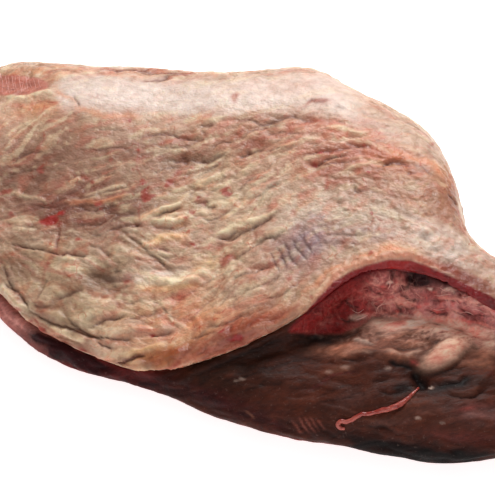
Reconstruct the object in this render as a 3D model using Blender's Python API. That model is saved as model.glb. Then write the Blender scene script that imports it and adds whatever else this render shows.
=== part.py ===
"""A raw whole beef brisket, fat side up: the lean muscles, the fat cap over them and a vein on one side.

Units are metres, +Z is up, +X runs along the brisket and +Y points to its thick far side.
The origin is the middle of the face that it rests on.
"""

import math
from collections import namedtuple

import bmesh
import bpy
from mathutils import Vector, kdtree, noise

MM = 0.001

# Thirteen ribs cross the brisket from its left end to its right end. Each one gives, in millimetres,
# three places in plan and its heights. near is the widest line of the near side, lip the edge of the fat
# cap and far the far side. lip_z is the top of the lean meat under the lip, lip_fat the fat's thickness
# there, middle_z and crest_z the top of the cap, far_z its height before the far edge rounds off, and
# seam_z the top of the lean meat on the far side. foot_z is where the cut face under the lip meets the
# lower muscle, brow_z that muscle's height before its near edge rounds off, and brow_reach how far in
# that rounding starts.
Rib = namedtuple("Rib", "near lip far lip_z lip_fat middle_z crest_z far_z seam_z foot_z brow_z brow_reach")
RIBS = (
    Rib((-246, -20), (-241, -16), (-268, 41), 24, 10, 46, 48, 46, 22, 24, 24, 10),
    Rib((-211, -66), (-205, -60), (-243, 75), 23, 10, 51, 56, 53, 24, 23, 23, 10),
    Rib((-160, -105), (-156, -97), (-183, 97), 21, 9, 54, 65, 61, 28, 21, 21, 9),
    Rib((-101, -129), (-98, -121), (-125, 118), 19, 9, 58, 72, 67, 32, 19, 19, 9),
    Rib((-50, -132), (-49, -124), (-76, 135), 19, 9, 61, 80, 72, 35, 19, 19, 9),
    Rib((-5, -122), (-3, -116), (-35, 160), 21, 9, 65, 87, 76, 38, 20, 20, 10),
    Rib((40, -120), (36, -90), (12, 150), 36, 10, 75, 91, 79, 40, 31, 27, 22),
    Rib((85, -114), (70, -54), (48, 146), 55, 9, 83, 91, 79, 42, 39, 36, 36),
    Rib((125, -101), (92, -14), (82, 133), 71, 7, 87, 90, 78, 42, 45, 43, 46),
    Rib((160, -91), (126, 3), (114, 98), 75, 7, 86, 86, 76, 40, 48, 45, 48),
    Rib((197, -75), (168, 5), (141, 61), 69, 7, 78, 77, 69, 37, 46, 42, 46),
    Rib((237, -37), (216, 5), (198, 56), 56, 8, 64, 64, 58, 32, 39, 37, 34),
    Rib((258, -16), (253, 6), (243, 40), 38, 9, 49, 50, 48, 26, 31, 30, 20),
)

# Lumps on the lower muscle, in millimetres: centre, direction of the long axis in degrees, half length,
# half width and height. The first is a nodule of fat, the second the hollow beside it and the rest are
# folds of the membrane.
Lump = namedtuple("Lump", "centre turn long wide height")
LUMPS = (
    Lump((161, -27), 65, 15, 7, 6.0),
    Lump((155, -50), 40, 16, 7, -5.0),
    Lump((116, -54), 20, 22, 6, 2.5),
    Lump((186, -44), 75, 20, 6, 2.5),
    Lump((110, -74), 15, 26, 7, -2.5),
)

# The vein lies on the lower muscle: its path in plan and its radii, in millimetres, with a knot at its
# low end.
VEIN_PATH = ((157, -59), (156, -67), (149, -76), (140, -83), (132, -88), (127, -96))
VEIN_RADII = (1.1, 1.6, 2.0, 1.7, 1.6, 3.0)
VEIN_POINTS = 22
VEIN_GROUND = 80
VEIN_FOOTING = 6

# The clear space between pieces that touch.
GAP = 0.3 * MM

# The grids that the cap and the lean meat are made from, and how far their lines crowd towards the edges,
# 0 to 1.
COLUMNS = 46
CAP_ROWS = 20
MUSCLE_ROWS = 12
SIDE_ROWS = 4
COLUMN_CROWDING = 0.45
ROW_CROWDING = 0.6
MUSCLE_CROWDING = 1.3

# Both ends swell past their last ribs over a share of the length, less at the lip than across the cap.
END_BULGE = 14 * MM
END_SHARE = 0.14
LIP_BULGE_SHARE = 0.2

# The cap: where its heights lie between lip and far side, its fat over the middle, the roundings of its
# edges, the least rim that they leave, the bulge of its sides and its soft swelling, as size and depth.
HEIGHT_KNOTS = (0.0, 0.45, 0.8, 1.0)
CAP_MIDDLE_FAT = 13 * MM
CAP_MIDDLE_REACH = 0.5
CAP_FAR_REACH = 0.45
CAP_REACH = 38 * MM
CAP_END_REACH = 22 * MM
LIP_REACH = 7 * MM
LEAST_RIM = 3 * MM
CAP_SIDE_BULGE = 5 * MM
CAP_SIDE_SHARE = 0.5
CAP_SWELLING = (52 * MM, 4 * MM)

# The lean meat: how far the cut face runs under the lip, how soon the lumps and the brow's rounding set
# in beyond it, the brow's share of the height, the rounding on the resting face and its largest share,
# the bulge of the sides.
FACE_RUN = 11 * MM
LUMP_RUN = 20 * MM
BROW_RUN = 18 * MM
BROW_RUN_SHARE = 0.8
BROW_SHARE = 0.62
REST_ROUNDING = 15 * MM
REST_SHARE = 0.6
LEAN_SIDE_SHARE = 0.2
MUSCLE_SWELLING = (46 * MM, 5 * MM)

# How many places of each side are read when the nearest outline is looked for.
OUTLINE_STEPS = 160

FAT_COLOUR = (0.78, 0.60, 0.47, 1.0)
LEAN_COLOUR = (0.22, 0.035, 0.035, 1.0)
VEIN_COLOUR = (0.42, 0.07, 0.05, 1.0)
FAT_ROUGHNESS = 0.5
LEAN_ROUGHNESS = 0.45
VEIN_ROUGHNESS = 0.35

# Lengths and shares below this count as none.
TINY = 1e-6


def ease(share):
    """0 to 1 with a soft start and end."""
    share = min(1.0, max(0.0, share))
    return share * share * (3 - 2 * share)


def curve_through(values, share):
    """A smooth curve through evenly spaced values, read at a share of its length."""
    place = min(max(share, 0.0), 1.0) * (len(values) - 1)
    k = min(int(place), len(values) - 2)
    u = place - k
    before, after = max(k - 1, 0), min(k + 2, len(values) - 1)
    a, b, c, d = (values[i] for i in (before, k, k + 1, after))
    slope = (c - a) * u
    bend = (2 * a - 5 * b + 4 * c - d) * u**2
    twist = (3 * b - a - 3 * c + d) * u**3
    return 0.5 * (2 * b + slope + bend + twist)


def along(field, s):
    """A rib's measure at the share s of the brisket's length, in metres."""
    values = [getattr(rib, field) for rib in RIBS]
    if isinstance(values[0], tuple):
        values = [Vector(v) for v in values]
    return curve_through(values, s) * MM


def end_bulge(s, t):
    """How far the two ends swell past their last ribs, t being 0 on the near side and 1 on the far side."""
    left = max(0.0, 1 - s / END_SHARE) ** 2
    right = max(0.0, 1 - (1 - s) / END_SHARE) ** 2
    return Vector(((right - left) * END_BULGE * math.sin(math.pi * t), 0.0))


def cap_plan(s, t):
    """Where the cap's grid lies in plan: t runs from the lip, 0, to the far side, 1."""
    bulge = end_bulge(s, LIP_BULGE_SHARE + (1 - LIP_BULGE_SHARE) * t)
    return along("lip", s).lerp(along("far", s), t) + bulge


def muscle_plan(s, t):
    """Where the lower muscle's grid lies in plan: t runs from the lip, 0, to the near side, 1."""
    return along("lip", s).lerp(along("near", s), t) + end_bulge(s, LIP_BULGE_SHARE * (1 - t))


def cap_height(s, t):
    """Top of the fat cap before its edges are rounded: a smooth curve over four heights of each rib."""
    lip = along("lip_z", s) + along("lip_fat", s)
    heights = (lip, along("middle_z", s), along("crest_z", s), along("far_z", s))
    knots = HEIGHT_KNOTS
    ends = ((0, 1), (0, 2), (1, 3), (2, 3))
    slopes = [(heights[b] - heights[a]) / (knots[b] - knots[a]) for a, b in ends]
    k = 0 if t < knots[1] else 1 if t < knots[2] else 2
    width = knots[k + 1] - knots[k]
    u = (t - knots[k]) / width
    start = (2 * u**3 - 3 * u**2 + 1) * heights[k] + (u**3 - 2 * u**2 + u) * width * slopes[k]
    end = (3 * u**2 - 2 * u**3) * heights[k + 1] + (u**3 - u**2) * width * slopes[k + 1]
    return start + end


def cap_thickness(s, t):
    """The fat is thin at the lip, thicker over the middle and thickest on the far side."""
    lip, far = along("lip_fat", s), along("far_z", s) - along("seam_z", s)
    near_part = (CAP_MIDDLE_FAT - lip) * ease(t / CAP_MIDDLE_REACH)
    far_part = (far - CAP_MIDDLE_FAT) * ease((t - 1 + CAP_FAR_REACH) / CAP_FAR_REACH)
    return lip + near_part + far_part


def swelling(point, size, depth):
    """Soft lumps of about the given size and depth."""
    return depth * noise.noise(Vector((point.x / size, point.y / size, 0.7)))


def lump_height(point):
    """The named lumps of the lower muscle at a place in plan."""
    total = 0.0
    for lump in LUMPS:
        away = (point - Vector(lump.centre) * MM) / MM
        turn = math.radians(lump.turn)
        on_axis = away.x * math.cos(turn) + away.y * math.sin(turn)
        beside = away.y * math.cos(turn) - away.x * math.sin(turn)
        total += lump.height * MM * math.exp(-((on_axis / lump.long) ** 2) - (beside / lump.wide) ** 2)
    return total


def seam_height(s, t):
    """The lean meat's top under the cap."""
    return cap_height(s, t) - cap_thickness(s, t)


def muscle_height(s, t):
    """The cut face under the lip, then the lower muscle's top down to its brow."""
    lip, foot, brow = along("lip_z", s), along("foot_z", s), along("brow_z", s)
    run = (along("near", s) - along("lip", s)).length
    down = run * t
    face = foot + (lip - foot) * (1 - ease(down / min(FACE_RUN, run)))
    plan = muscle_plan(s, t)
    lumps = (swelling(plan, *MUSCLE_SWELLING) + lump_height(plan)) * ease((down - FACE_RUN) / LUMP_RUN)
    return face + (brow - foot) * ease((down - FACE_RUN) / max(run - FACE_RUN, FACE_RUN)) + lumps


def edge_tree(places, roundings):
    """Finds the nearest place of an outline, and the rounding there."""
    tree = kdtree.KDTree(len(places))
    for k, place in enumerate(places):
        tree.insert((place.x, place.y, 0.0), k)
    tree.balance()

    def nearest(point):
        _, k, distance = tree.find((point.x, point.y, 0.0))
        return distance, roundings[k]

    return nearest


def drop(distance, reach, depth):
    """How far a rounded edge falls at a distance from its outline: a quarter of an ellipse."""
    if distance >= reach:
        return 0.0
    return depth * (1 - math.sqrt(max(0.0, 1 - (1 - distance / reach) ** 2)))


def crowded(share, how_much):
    """Moves even steps towards both ends, where the edges curve."""
    return how_much * (0.5 - 0.5 * math.cos(math.pi * share)) + (1 - how_much) * share


def rests(edge):
    """Whether an edge lies inside the flat face that the brisket rests on."""
    heights = [vert.co.z for face in edge.link_faces for vert in face.verts]
    return len(edge.link_faces) == 2 and all(abs(z) < TINY for z in heights)


def slab(name, rows, place, material):
    """A grid extruded to a closed slab, with every point moved by place(s, row, level).

    s runs from 0 to 1 along the brisket, row counts the grid's rows, level is 0 on top and 1 underneath.
    """
    mesh = bmesh.new()
    bmesh.ops.create_grid(mesh, x_segments=COLUMNS, y_segments=rows, size=1.0)
    extruded = bmesh.ops.extrude_face_region(mesh, geom=mesh.faces[:])
    lower = [item for item in extruded["geom"] if isinstance(item, bmesh.types.BMVert)]
    bmesh.ops.translate(mesh, verts=lower, vec=(0, 0, -1))
    uprights = [e for e in mesh.edges if abs(e.verts[0].co.z - e.verts[1].co.z) > 0.5]
    bmesh.ops.subdivide_edges(mesh, edges=uprights, cuts=SIDE_ROWS - 1, use_grid_fill=True)
    for vert in mesh.verts:
        s = crowded((vert.co.x + 1) / 2, COLUMN_CROWDING)
        vert.co = place(s, round((vert.co.y + 1) / 2 * rows), -vert.co.z)
    bmesh.ops.recalc_face_normals(mesh, faces=mesh.faces[:])
    flat = [edge for edge in mesh.edges if rests(edge)]
    bmesh.ops.dissolve_edges(mesh, edges=flat, use_verts=True)
    data = bpy.data.meshes.new(name)
    mesh.to_mesh(data)
    mesh.free()
    data.shade_smooth()
    data.materials.append(material)
    obj = bpy.data.objects.new(name, data)
    collection.objects.link(obj)
    return obj


def outward(s, row, rows):
    """Which way a side point faces in plan, from its place on the grid's edge."""
    sideways = Vector(((s > 1 - TINY) - (s < TINY), (row == rows) - (row == 0)))
    return sideways.normalized() if sideways.length else sideways


def cap_outline():
    """The cap's outline in plan, each place with how far in its edge is rounded."""
    places = []
    for k in range(OUTLINE_STEPS + 1):
        share = k / OUTLINE_STEPS
        places.append((cap_plan(share, 0), LIP_REACH))
        places.append((cap_plan(share, 1), CAP_REACH))
        places.append((cap_plan(0, share), CAP_END_REACH))
        places.append((cap_plan(1, share), CAP_END_REACH))
    return zip(*places)


def lean_outline():
    """The lean meat's outline in plan, each place with how far in its edge is rounded."""
    places = []
    for k in range(OUTLINE_STEPS + 1):
        share = k / OUTLINE_STEPS
        places.append((muscle_plan(share, 1), along("brow_reach", share)))
        places.append((cap_plan(share, 1), REST_ROUNDING))
        places.append((cap_plan(0, share), REST_ROUNDING))
        places.append((muscle_plan(1, share), REST_ROUNDING))
    return zip(*places)


CAP_EDGE = edge_tree(*cap_outline())
LEAN_EDGE = edge_tree(*lean_outline())


def cap_place(s, row, level):
    """Where a point of the fat cap lies: its top, its sides or its underside."""
    t = crowded(row / CAP_ROWS, ROW_CROWDING)
    plan = cap_plan(s, t)
    under = seam_height(s, t) + GAP
    distance, reach = CAP_EDGE(plan)
    full = cap_height(s, t) + swelling(plan, *CAP_SWELLING)
    top = full - drop(distance, reach, min(reach, full - under - LEAST_RIM))
    if level in (0, 1):
        return (plan.x, plan.y, top if level == 0 else under)
    swell = min(CAP_SIDE_BULGE, (top - under) * CAP_SIDE_SHARE) * math.sin(math.pi * level)
    bulge = outward(s, row, CAP_ROWS) * swell
    return (plan.x + bulge.x, plan.y + bulge.y, top + (under - top) * level)


def muscle_top(s, t):
    """The lower muscle's top with its near edge and its end rounded off, but not where it meets the lip."""
    top = muscle_height(s, t)
    run = (along("near", s) - along("lip", s)).length
    distance, reach = LEAN_EDGE(muscle_plan(s, t))
    fade = ease(run * t / min(BROW_RUN, run * BROW_RUN_SHARE))
    return top - drop(distance, reach, min(reach, top * BROW_SHARE)) * fade


def lean_place(s, row, level):
    """Where a point of the lean meat lies: on its top, partly under the cap, its sides or its underside."""
    if row >= MUSCLE_ROWS:
        t = crowded((row - MUSCLE_ROWS) / CAP_ROWS, ROW_CROWDING)
        plan, top = cap_plan(s, t), seam_height(s, t)
    else:
        t = (1 - row / MUSCLE_ROWS) ** MUSCLE_CROWDING
        plan, top = muscle_plan(s, t), muscle_top(s, t)
    distance, _ = LEAN_EDGE(plan)
    bottom = min(drop(distance, REST_ROUNDING, REST_ROUNDING), top * REST_SHARE)
    if level in (0, 1):
        return (plan.x, plan.y, top if level == 0 else bottom)
    swell = (top - bottom) * LEAN_SIDE_SHARE * math.sin(math.pi * level)
    bulge = outward(s, row, MUSCLE_ROWS + CAP_ROWS) * swell
    return (plan.x + bulge.x, plan.y + bulge.y, top + (bottom - top) * level)


def vein(name, material):
    """A curve with a round bevel that lies on the lower muscle and swells to a knot at its low end."""
    shares = [k / VEIN_GROUND for k in range(VEIN_GROUND + 1)]
    right_half = shares[VEIN_GROUND // 2 :]
    ground = [(muscle_plan(s, t), muscle_top(s, t)) for s in right_half for t in shares]
    tree = kdtree.KDTree(len(ground))
    for k, (plan, _) in enumerate(ground):
        tree.insert((plan.x, plan.y, 0.0), k)
    tree.balance()
    data = bpy.data.curves.new(name, "CURVE")
    data.dimensions = "3D"
    data.bevel_depth = MM
    data.bevel_resolution = 2
    data.use_fill_caps = True
    spline = data.splines.new("POLY")
    spline.points.add(VEIN_POINTS - 1)
    for k, point in enumerate(spline.points):
        share = k / (VEIN_POINTS - 1)
        plan = curve_through([Vector(p) for p in VEIN_PATH], share) * MM
        radius = curve_through(VEIN_RADII, share)
        close = tree.find_n((plan.x, plan.y, 0.0), VEIN_FOOTING)
        height = max(ground[hit[1]][1] for hit in close)
        point.co = (plan.x, plan.y, height + radius * MM + GAP, 1.0)
        point.radius = radius
    data.materials.append(material)
    obj = bpy.data.objects.new(name, data)
    collection.objects.link(obj)
    return obj


def corners():
    """The lowest and highest corner of everything made."""
    bpy.context.view_layer.update()
    points = [obj.matrix_world @ Vector(corner) for obj in collection.objects for corner in obj.bound_box]
    return [Vector([pick(point[axis] for point in points) for axis in range(3)]) for pick in (min, max)]


def material(name, colour, roughness):
    made = bpy.data.materials.new(name)
    made.use_nodes = True
    shader = made.node_tree.nodes["Principled BSDF"]
    shader.inputs["Base Color"].default_value = colour
    shader.inputs["Roughness"].default_value = roughness
    shader.inputs["Metallic"].default_value = 0.0
    return made


for old in list(bpy.data.objects):
    bpy.data.objects.remove(old)
collection = bpy.data.collections.new("beef_brisket")
bpy.context.scene.collection.children.link(collection)

slab("lean_meat", MUSCLE_ROWS + CAP_ROWS, lean_place, material("lean", LEAN_COLOUR, LEAN_ROUGHNESS))
slab("fat_cap", CAP_ROWS, cap_place, material("fat", FAT_COLOUR, FAT_ROUGHNESS))
vein("vein", material("vein", VEIN_COLOUR, VEIN_ROUGHNESS))

low, high = corners()
middle = (low + high) / 2
for made in collection.objects:
    made.location = (-middle.x, -middle.y, -low.z)
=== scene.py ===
"""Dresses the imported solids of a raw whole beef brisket: fat cap, lean meat and vein, with fine strands.

Creases, folds and stains that the photograph shows are placed by their pixels in its 495 by 500 frame and
laid on the pieces where the camera sees them. The other sides get the same kinds of folds by rule.
"""

import math
from collections import namedtuple

import bpy
import numpy as np
from bpy.props import FloatProperty, FloatVectorProperty, PointerProperty
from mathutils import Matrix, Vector, noise
from mathutils.bvhtree import BVHTree


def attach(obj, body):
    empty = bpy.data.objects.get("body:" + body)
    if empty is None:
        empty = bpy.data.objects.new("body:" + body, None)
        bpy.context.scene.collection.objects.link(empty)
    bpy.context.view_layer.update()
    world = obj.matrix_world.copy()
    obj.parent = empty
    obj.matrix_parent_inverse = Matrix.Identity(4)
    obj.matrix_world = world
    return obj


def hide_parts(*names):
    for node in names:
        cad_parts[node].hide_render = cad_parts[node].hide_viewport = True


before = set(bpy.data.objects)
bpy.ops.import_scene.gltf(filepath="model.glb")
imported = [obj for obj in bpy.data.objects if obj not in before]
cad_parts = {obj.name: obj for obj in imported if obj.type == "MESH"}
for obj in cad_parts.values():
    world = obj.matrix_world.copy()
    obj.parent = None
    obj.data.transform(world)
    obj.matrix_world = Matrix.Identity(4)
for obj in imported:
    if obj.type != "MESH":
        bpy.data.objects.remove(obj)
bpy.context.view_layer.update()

bl_info = {
    "name": "Raw beef brisket",
    "version": (1, 0, 0),
    "blender": (4, 5, 0),
    "location": "3D View > Sidebar > Brisket",
    "description": "Dresses a raw beef brisket with folded fat, marbled lean meat and membrane",
    "category": "Object",
}

MM = 0.001

# The photograph's frame in pixels, and the width of the camera's sensor in millimetres.
PHOTO_WIDE = 495
PHOTO_HIGH = 500
SENSOR = 36.0

# What is drawn on a piece, in pixels of the photograph, with heights in millimetres. A line's width is
# where it has faded to a third. Rise is the angle of a long axis in degrees, positive where it rises to
# the right.
Line = namedtuple("Line", "path width height")
Mound = namedtuple("Mound", "centre long wide rise height")
Patch = namedtuple("Patch", "centre long wide rise colour strength")
Streak = namedtuple("Streak", "path width colour strength")
Spot = namedtuple("Spot", "centre size strength")
Grain = namedtuple("Grain", "centre rise")

# Short marks side by side on the silvery membrane, pressed in with the creases and shaded on their own.
HATCH = (
    Line(((268, 248), (275, 259), (281, 272)), 1.5, 0.48),
    Line(((275, 243), (284, 257), (291, 271)), 1.7, 0.72),
    Line(((282, 240), (290, 253), (299, 269)), 1.8, 0.78),
    Line(((290, 236), (299, 249), (307, 262)), 1.7, 0.66),
    Line(((298, 232), (307, 244), (316, 257)), 1.5, 0.48),
    Line(((309, 228), (317, 239), (323, 249)), 1.4, 0.42),
)
FAT_CREASES = (
    Line(((0, 242), (17, 245), (33, 249), (50, 251), (66, 253), (83, 255), (100, 254)), 1.5, 1.9),
    Line(((57, 227), (58, 239), (57, 250)), 1.6, 1.4),
    Line(((0, 260), (7, 275), (13, 290), (25, 303), (33, 311)), 1.5, 1.4),
    Line(((22, 304), (38, 314), (55, 323), (73, 328), (86, 334), (99, 339), (116, 349)), 2.4, 2.8),
    Line(((61, 313), (73, 321), (83, 329), (93, 336), (106, 337), (126, 342), (141, 343)), 1.9, 2.0),
    Line(((83, 329), (103, 321), (116, 318), (133, 313)), 1.7, 1.8),
    Line(((51, 303), (70, 294), (86, 290)), 3.4, 2.0),
    Line(((113, 271), (124, 272)), 1.8, 1.4),
    Line(((128, 240), (143, 248), (154, 256), (166, 266), (182, 268)), 1.6, 1.1),
    Line(((100, 229), (116, 228), (133, 224), (144, 221)), 1.7, 1.3),
    Line(((212, 239), (232, 236), (244, 231), (262, 222), (288, 208)), 2.0, 2.0),
    Line(((120, 140), (149, 136), (169, 134), (182, 137), (196, 141), (206, 138), (221, 129)), 1.9, 1.9),
    Line(((166, 161), (187, 159), (207, 161), (225, 153)), 3.0, 1.3),
    Line(((230, 262), (243, 254), (257, 244), (277, 236), (286, 231)), 1.9, 1.3),
    Line(((303, 107), (313, 99), (318, 102), (335, 100)), 1.5, 0.7),
    Line(((334, 107), (349, 107)), 1.3, 0.4),
    Line(((235, 122), (247, 119), (262, 124), (285, 117), (301, 119), (328, 120)), 2.6, 1.6),
    Line(((306, 163), (316, 166), (325, 159), (341, 155), (351, 156)), 2.2, 1.9),
    Line(((341, 140), (358, 146), (376, 148)), 2.0, 1.5),
    Line(((378, 168), (389, 162), (404, 167)), 2.4, 1.7),
    Line(((404, 173), (416, 174)), 2.2, 1.4),
    Line(((354, 181), (356, 190), (362, 191)), 1.7, 1.3),
    Line(((450, 193), (459, 205)), 1.8, 1.8),
    Line(((113, 367), (123, 362), (138, 357), (149, 357)), 1.9, 1.8),
    Line(((108, 67), (130, 69), (166, 71)), 1.6, 1.2),
    Line(((138, 79), (157, 80), (176, 74), (196, 76)), 1.6, 1.2),
    Line(((71, 96), (80, 106)), 1.8, 1.3),
    Line(((240, 158), (252, 155), (265, 148)), 1.9, 1.3),
    Line(((355, 190), (379, 190)), 1.5, 0.8),
    *HATCH,
    Line(((96, 70), (128, 69), (150, 72), (176, 71), (200, 76)), 1.5, 1.4),
    Line(((86, 244), (97, 249), (106, 255), (111, 261)), 1.6, 1.2),
    Line(((88, 230), (96, 233), (103, 235)), 1.5, 0.9),
    Line(((106, 229), (120, 226), (131, 223), (143, 221)), 1.5, 1.2),
    Line(((126, 238), (136, 241), (143, 246)), 1.8, 1.4),
    Line(((186, 198), (192, 193), (200, 190), (211, 187)), 1.8, 1.3),
    Line(((191, 205), (203, 204), (213, 200)), 1.8, 1.3),
    Line(((168, 160), (180, 160), (189, 165)), 2.2, 1.8),
    Line(((195, 160), (209, 160), (227, 154)), 3.0, 1.6),
    Line(((62, 182), (71, 178), (78, 174), (87, 177)), 1.6, 0.8),
    Line(((104, 179), (110, 176), (116, 175)), 1.4, 0.8),
    Line(((148, 225), (163, 229), (177, 229), (190, 224)), 1.6, 1.1),
    Line(((152, 218), (163, 214), (175, 209), (187, 203)), 1.5, 1.3),
    Line(((64, 208), (80, 207), (96, 209), (112, 206), (128, 203)), 1.4, 0.9),
    Line(((66, 198), (86, 198), (104, 193), (122, 189), (140, 186)), 1.4, 0.9),
    Line(((100, 215), (112, 213), (126, 213), (138, 212)), 1.4, 0.8),
    Line(((70, 224), (84, 222), (98, 222), (110, 221)), 1.4, 0.9),
    Line(((149, 248), (158, 248), (170, 251)), 1.8, 1.3),
    Line(((148, 262), (159, 263), (166, 268), (176, 269)), 1.7, 1.3),
    Line(((214, 240), (225, 237), (232, 233), (240, 229)), 1.7, 1.6),
    Line(((0, 279), (8, 286), (17, 292), (23, 301), (29, 307)), 1.9, 1.8),
    Line(((66, 317), (75, 325), (82, 329), (92, 335)), 1.8, 1.6),
    Line(((94, 339), (102, 346), (110, 349), (116, 352)), 1.9, 1.8),
    Line(((35, 302), (39, 292), (43, 283), (50, 275)), 1.5, 1.0),
    Line(((30, 300), (36, 305), (44, 307), (52, 305)), 1.6, 1.2),
    Line(((108, 369), (121, 361), (134, 356), (146, 354)), 2.0, 2.2),
    Line(((200, 127), (208, 127), (216, 125)), 1.7, 1.1),
    Line(((200, 132), (208, 133)), 1.6, 1.1),
    Line(((236, 141), (253, 131), (271, 126), (289, 122)), 1.6, 1.0),
    Line(((238, 158), (246, 157), (253, 153)), 2.6, 1.8),
    Line(((262, 152), (275, 148), (290, 147)), 1.5, 0.9),
    Line(((300, 153), (314, 153), (328, 150), (344, 148), (360, 147)), 1.7, 1.2),
    Line(((315, 165), (328, 163), (347, 161), (360, 158)), 1.6, 1.1),
    Line(((352, 144), (359, 146), (367, 147)), 1.8, 1.2),
    Line(((382, 166), (391, 161), (400, 164), (412, 170)), 1.7, 1.2),
    Line(((408, 163), (420, 168), (432, 176)), 1.7, 1.0),
    Line(((262, 138), (275, 134), (290, 133), (304, 134)), 1.5, 0.9),
    Line(((210, 147), (222, 142), (236, 139)), 1.6, 1.0),
    Line(((196, 178), (206, 172), (215, 166), (222, 160)), 1.7, 1.0),
    Line(((236, 189), (246, 183), (254, 175)), 1.6, 0.9),
    Line(((200, 204), (210, 207), (218, 205)), 1.8, 1.2),
    Line(((200, 215), (210, 219), (222, 214), (234, 206)), 1.6, 0.9),
    Line(((244, 200), (258, 196), (270, 189), (282, 180)), 1.5, 0.8),
    Line(((250, 245), (264, 240), (277, 234), (290, 226)), 1.5, 0.9),
    Line(((228, 280), (244, 276), (262, 268), (276, 262)), 1.5, 0.9),
    Line(((236, 293), (252, 289), (270, 281), (284, 272)), 1.5, 0.8),
    Line(((260, 300), (276, 296), (290, 288), (302, 280)), 1.5, 0.8),
    Line(((320, 236), (336, 233), (352, 235), (368, 232)), 1.4, 0.7),
    Line(((330, 246), (346, 244), (360, 246)), 1.4, 0.7),
    Line(((240, 312), (256, 306), (272, 303)), 1.6, 0.9),
    Line(((204, 330), (222, 325), (240, 318), (256, 314)), 1.7, 1.1),
    Line(((186, 340), (202, 336), (220, 331)), 1.7, 1.2),
    Line(((147, 293), (159, 306), (170, 314), (179, 321)), 1.5, 0.8),
    Line(((120, 300), (134, 303), (148, 301)), 1.5, 0.9),
    Line(((110, 318), (128, 319), (146, 315), (160, 312)), 1.5, 0.9),
    Line(((146, 333), (156, 337), (168, 335), (176, 328)), 1.6, 1.0),
    Line(((5, 165), (20, 158), (36, 152), (50, 150)), 1.6, 0.8),
    Line(((0, 178), (16, 174), (34, 170), (52, 168)), 1.5, 0.7),
    Line(((28, 205), (42, 208), (56, 208)), 1.6, 0.8),
    Line(((0, 222), (14, 226), (30, 228), (46, 230)), 1.6, 1.0),
    Line(((84, 148), (100, 150), (118, 149), (136, 152)), 1.5, 0.7),
    Line(((92, 128), (110, 131), (128, 131)), 1.5, 0.7),
    Line(((150, 145), (165, 148), (182, 147), (196, 150)), 1.5, 0.8),
    Line(((148, 172), (160, 170), (172, 166), (184, 168)), 1.5, 0.9),
)
FAT_RIDGES = (
    Line(((56, 104), (48, 111), (33, 123), (18, 135), (8, 146), (0, 150)), 1.8, 1.5),
    Line(((33, 118), (18, 128), (5, 138)), 1.5, 0.8),
    Line(((0, 97), (13, 97), (33, 95), (48, 91), (54, 95)), 2.6, 1.5),
    Line(((138, 275), (157, 280), (182, 281), (196, 275), (214, 261)), 4.2, 2.4),
    Line(((143, 216), (159, 212), (172, 207), (184, 201)), 2.4, 1.5),
    Line(((143, 219), (166, 222), (181, 219), (197, 214)), 2.4, 1.4),
    Line(((63, 183), (75, 178), (83, 175)), 2.0, 0.9),
    Line(((0, 196), (20, 195), (41, 199), (48, 204)), 2.0, 0.9),
    Line(((63, 204), (86, 199), (106, 194), (123, 194)), 2.0, 0.9),
    Line(((134, 240), (147, 245), (160, 252), (176, 261)), 2.2, 1.4),
    Line(((146, 247), (165, 238), (190, 236)), 3.0, 1.6),
    Line(((197, 350), (216, 343), (232, 336), (260, 328), (290, 320)), 3.0, 1.6),
    Line(((298, 312), (316, 294), (334, 276), (360, 263), (392, 254), (418, 255), (446, 267)), 3.4, 1.4),
    Line(((77, 196), (94, 194), (112, 188), (124, 184)), 2.2, 1.0),
    Line(((60, 203), (75, 203), (89, 201), (106, 201), (122, 199), (135, 196), (143, 192)), 1.7, 1.0),
    Line(((106, 204), (124, 206), (134, 204)), 1.7, 0.8),
    Line(((123, 217), (140, 217), (152, 214), (163, 210), (175, 204), (185, 199)), 2.5, 1.5),
    Line(((147, 221), (159, 222), (170, 222), (180, 219), (190, 213)), 2.4, 1.5),
    Line(((145, 250), (154, 254), (161, 260), (169, 265)), 1.9, 1.4),
    Line(((191, 188), (198, 185), (209, 180), (221, 173), (232, 168)), 2.2, 1.2),
    Line(((168, 190), (180, 189), (188, 187)), 2.4, 1.2),
    Line(((152, 197), (165, 196), (178, 196)), 2.2, 1.0),
    Line(((213, 236), (221, 231), (232, 228), (241, 224)), 2.2, 1.4),
    Line(((206, 204), (221, 204), (232, 198), (240, 190)), 2.4, 1.1),
    Line(((222, 222), (230, 214), (237, 208)), 2.4, 1.0),
    Line(((172, 152), (180, 152), (188, 153)), 2.2, 1.0),
    Line(((60, 258), (67, 257), (76, 259)), 2.2, 1.0),
    Line(((0, 285), (10, 295), (19, 304), (25, 309)), 2.6, 1.4),
    Line(((44, 310), (56, 314), (64, 320)), 2.0, 1.2),
    Line(((66, 312), (75, 318), (84, 319), (92, 314), (108, 311)), 3.2, 1.6),
    Line(((43, 332), (58, 332), (76, 338), (87, 342)), 2.4, 1.2),
    Line(((122, 356), (135, 351), (153, 349), (170, 344)), 2.6, 1.4),
    Line(((163, 305), (171, 317), (178, 326), (191, 332)), 2.0, 1.0),
    Line(((223, 231), (242, 225), (257, 218), (271, 214), (284, 206)), 2.2, 1.3),
    Line(((200, 122), (214, 121), (230, 116)), 1.8, 0.8),
    Line(((271, 151), (283, 147), (301, 143)), 1.8, 0.8),
    Line(((344, 169), (359, 164), (379, 160)), 2.0, 0.9),
    Line(((330, 131), (345, 130), (360, 134), (376, 140)), 2.0, 0.9),
    Line(((300, 141), (312, 138), (326, 138)), 1.8, 0.8),
    Line(((240, 172), (250, 166), (262, 160)), 2.2, 0.9),
    Line(((210, 190), (222, 184), (234, 176)), 2.2, 0.9),
)
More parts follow.
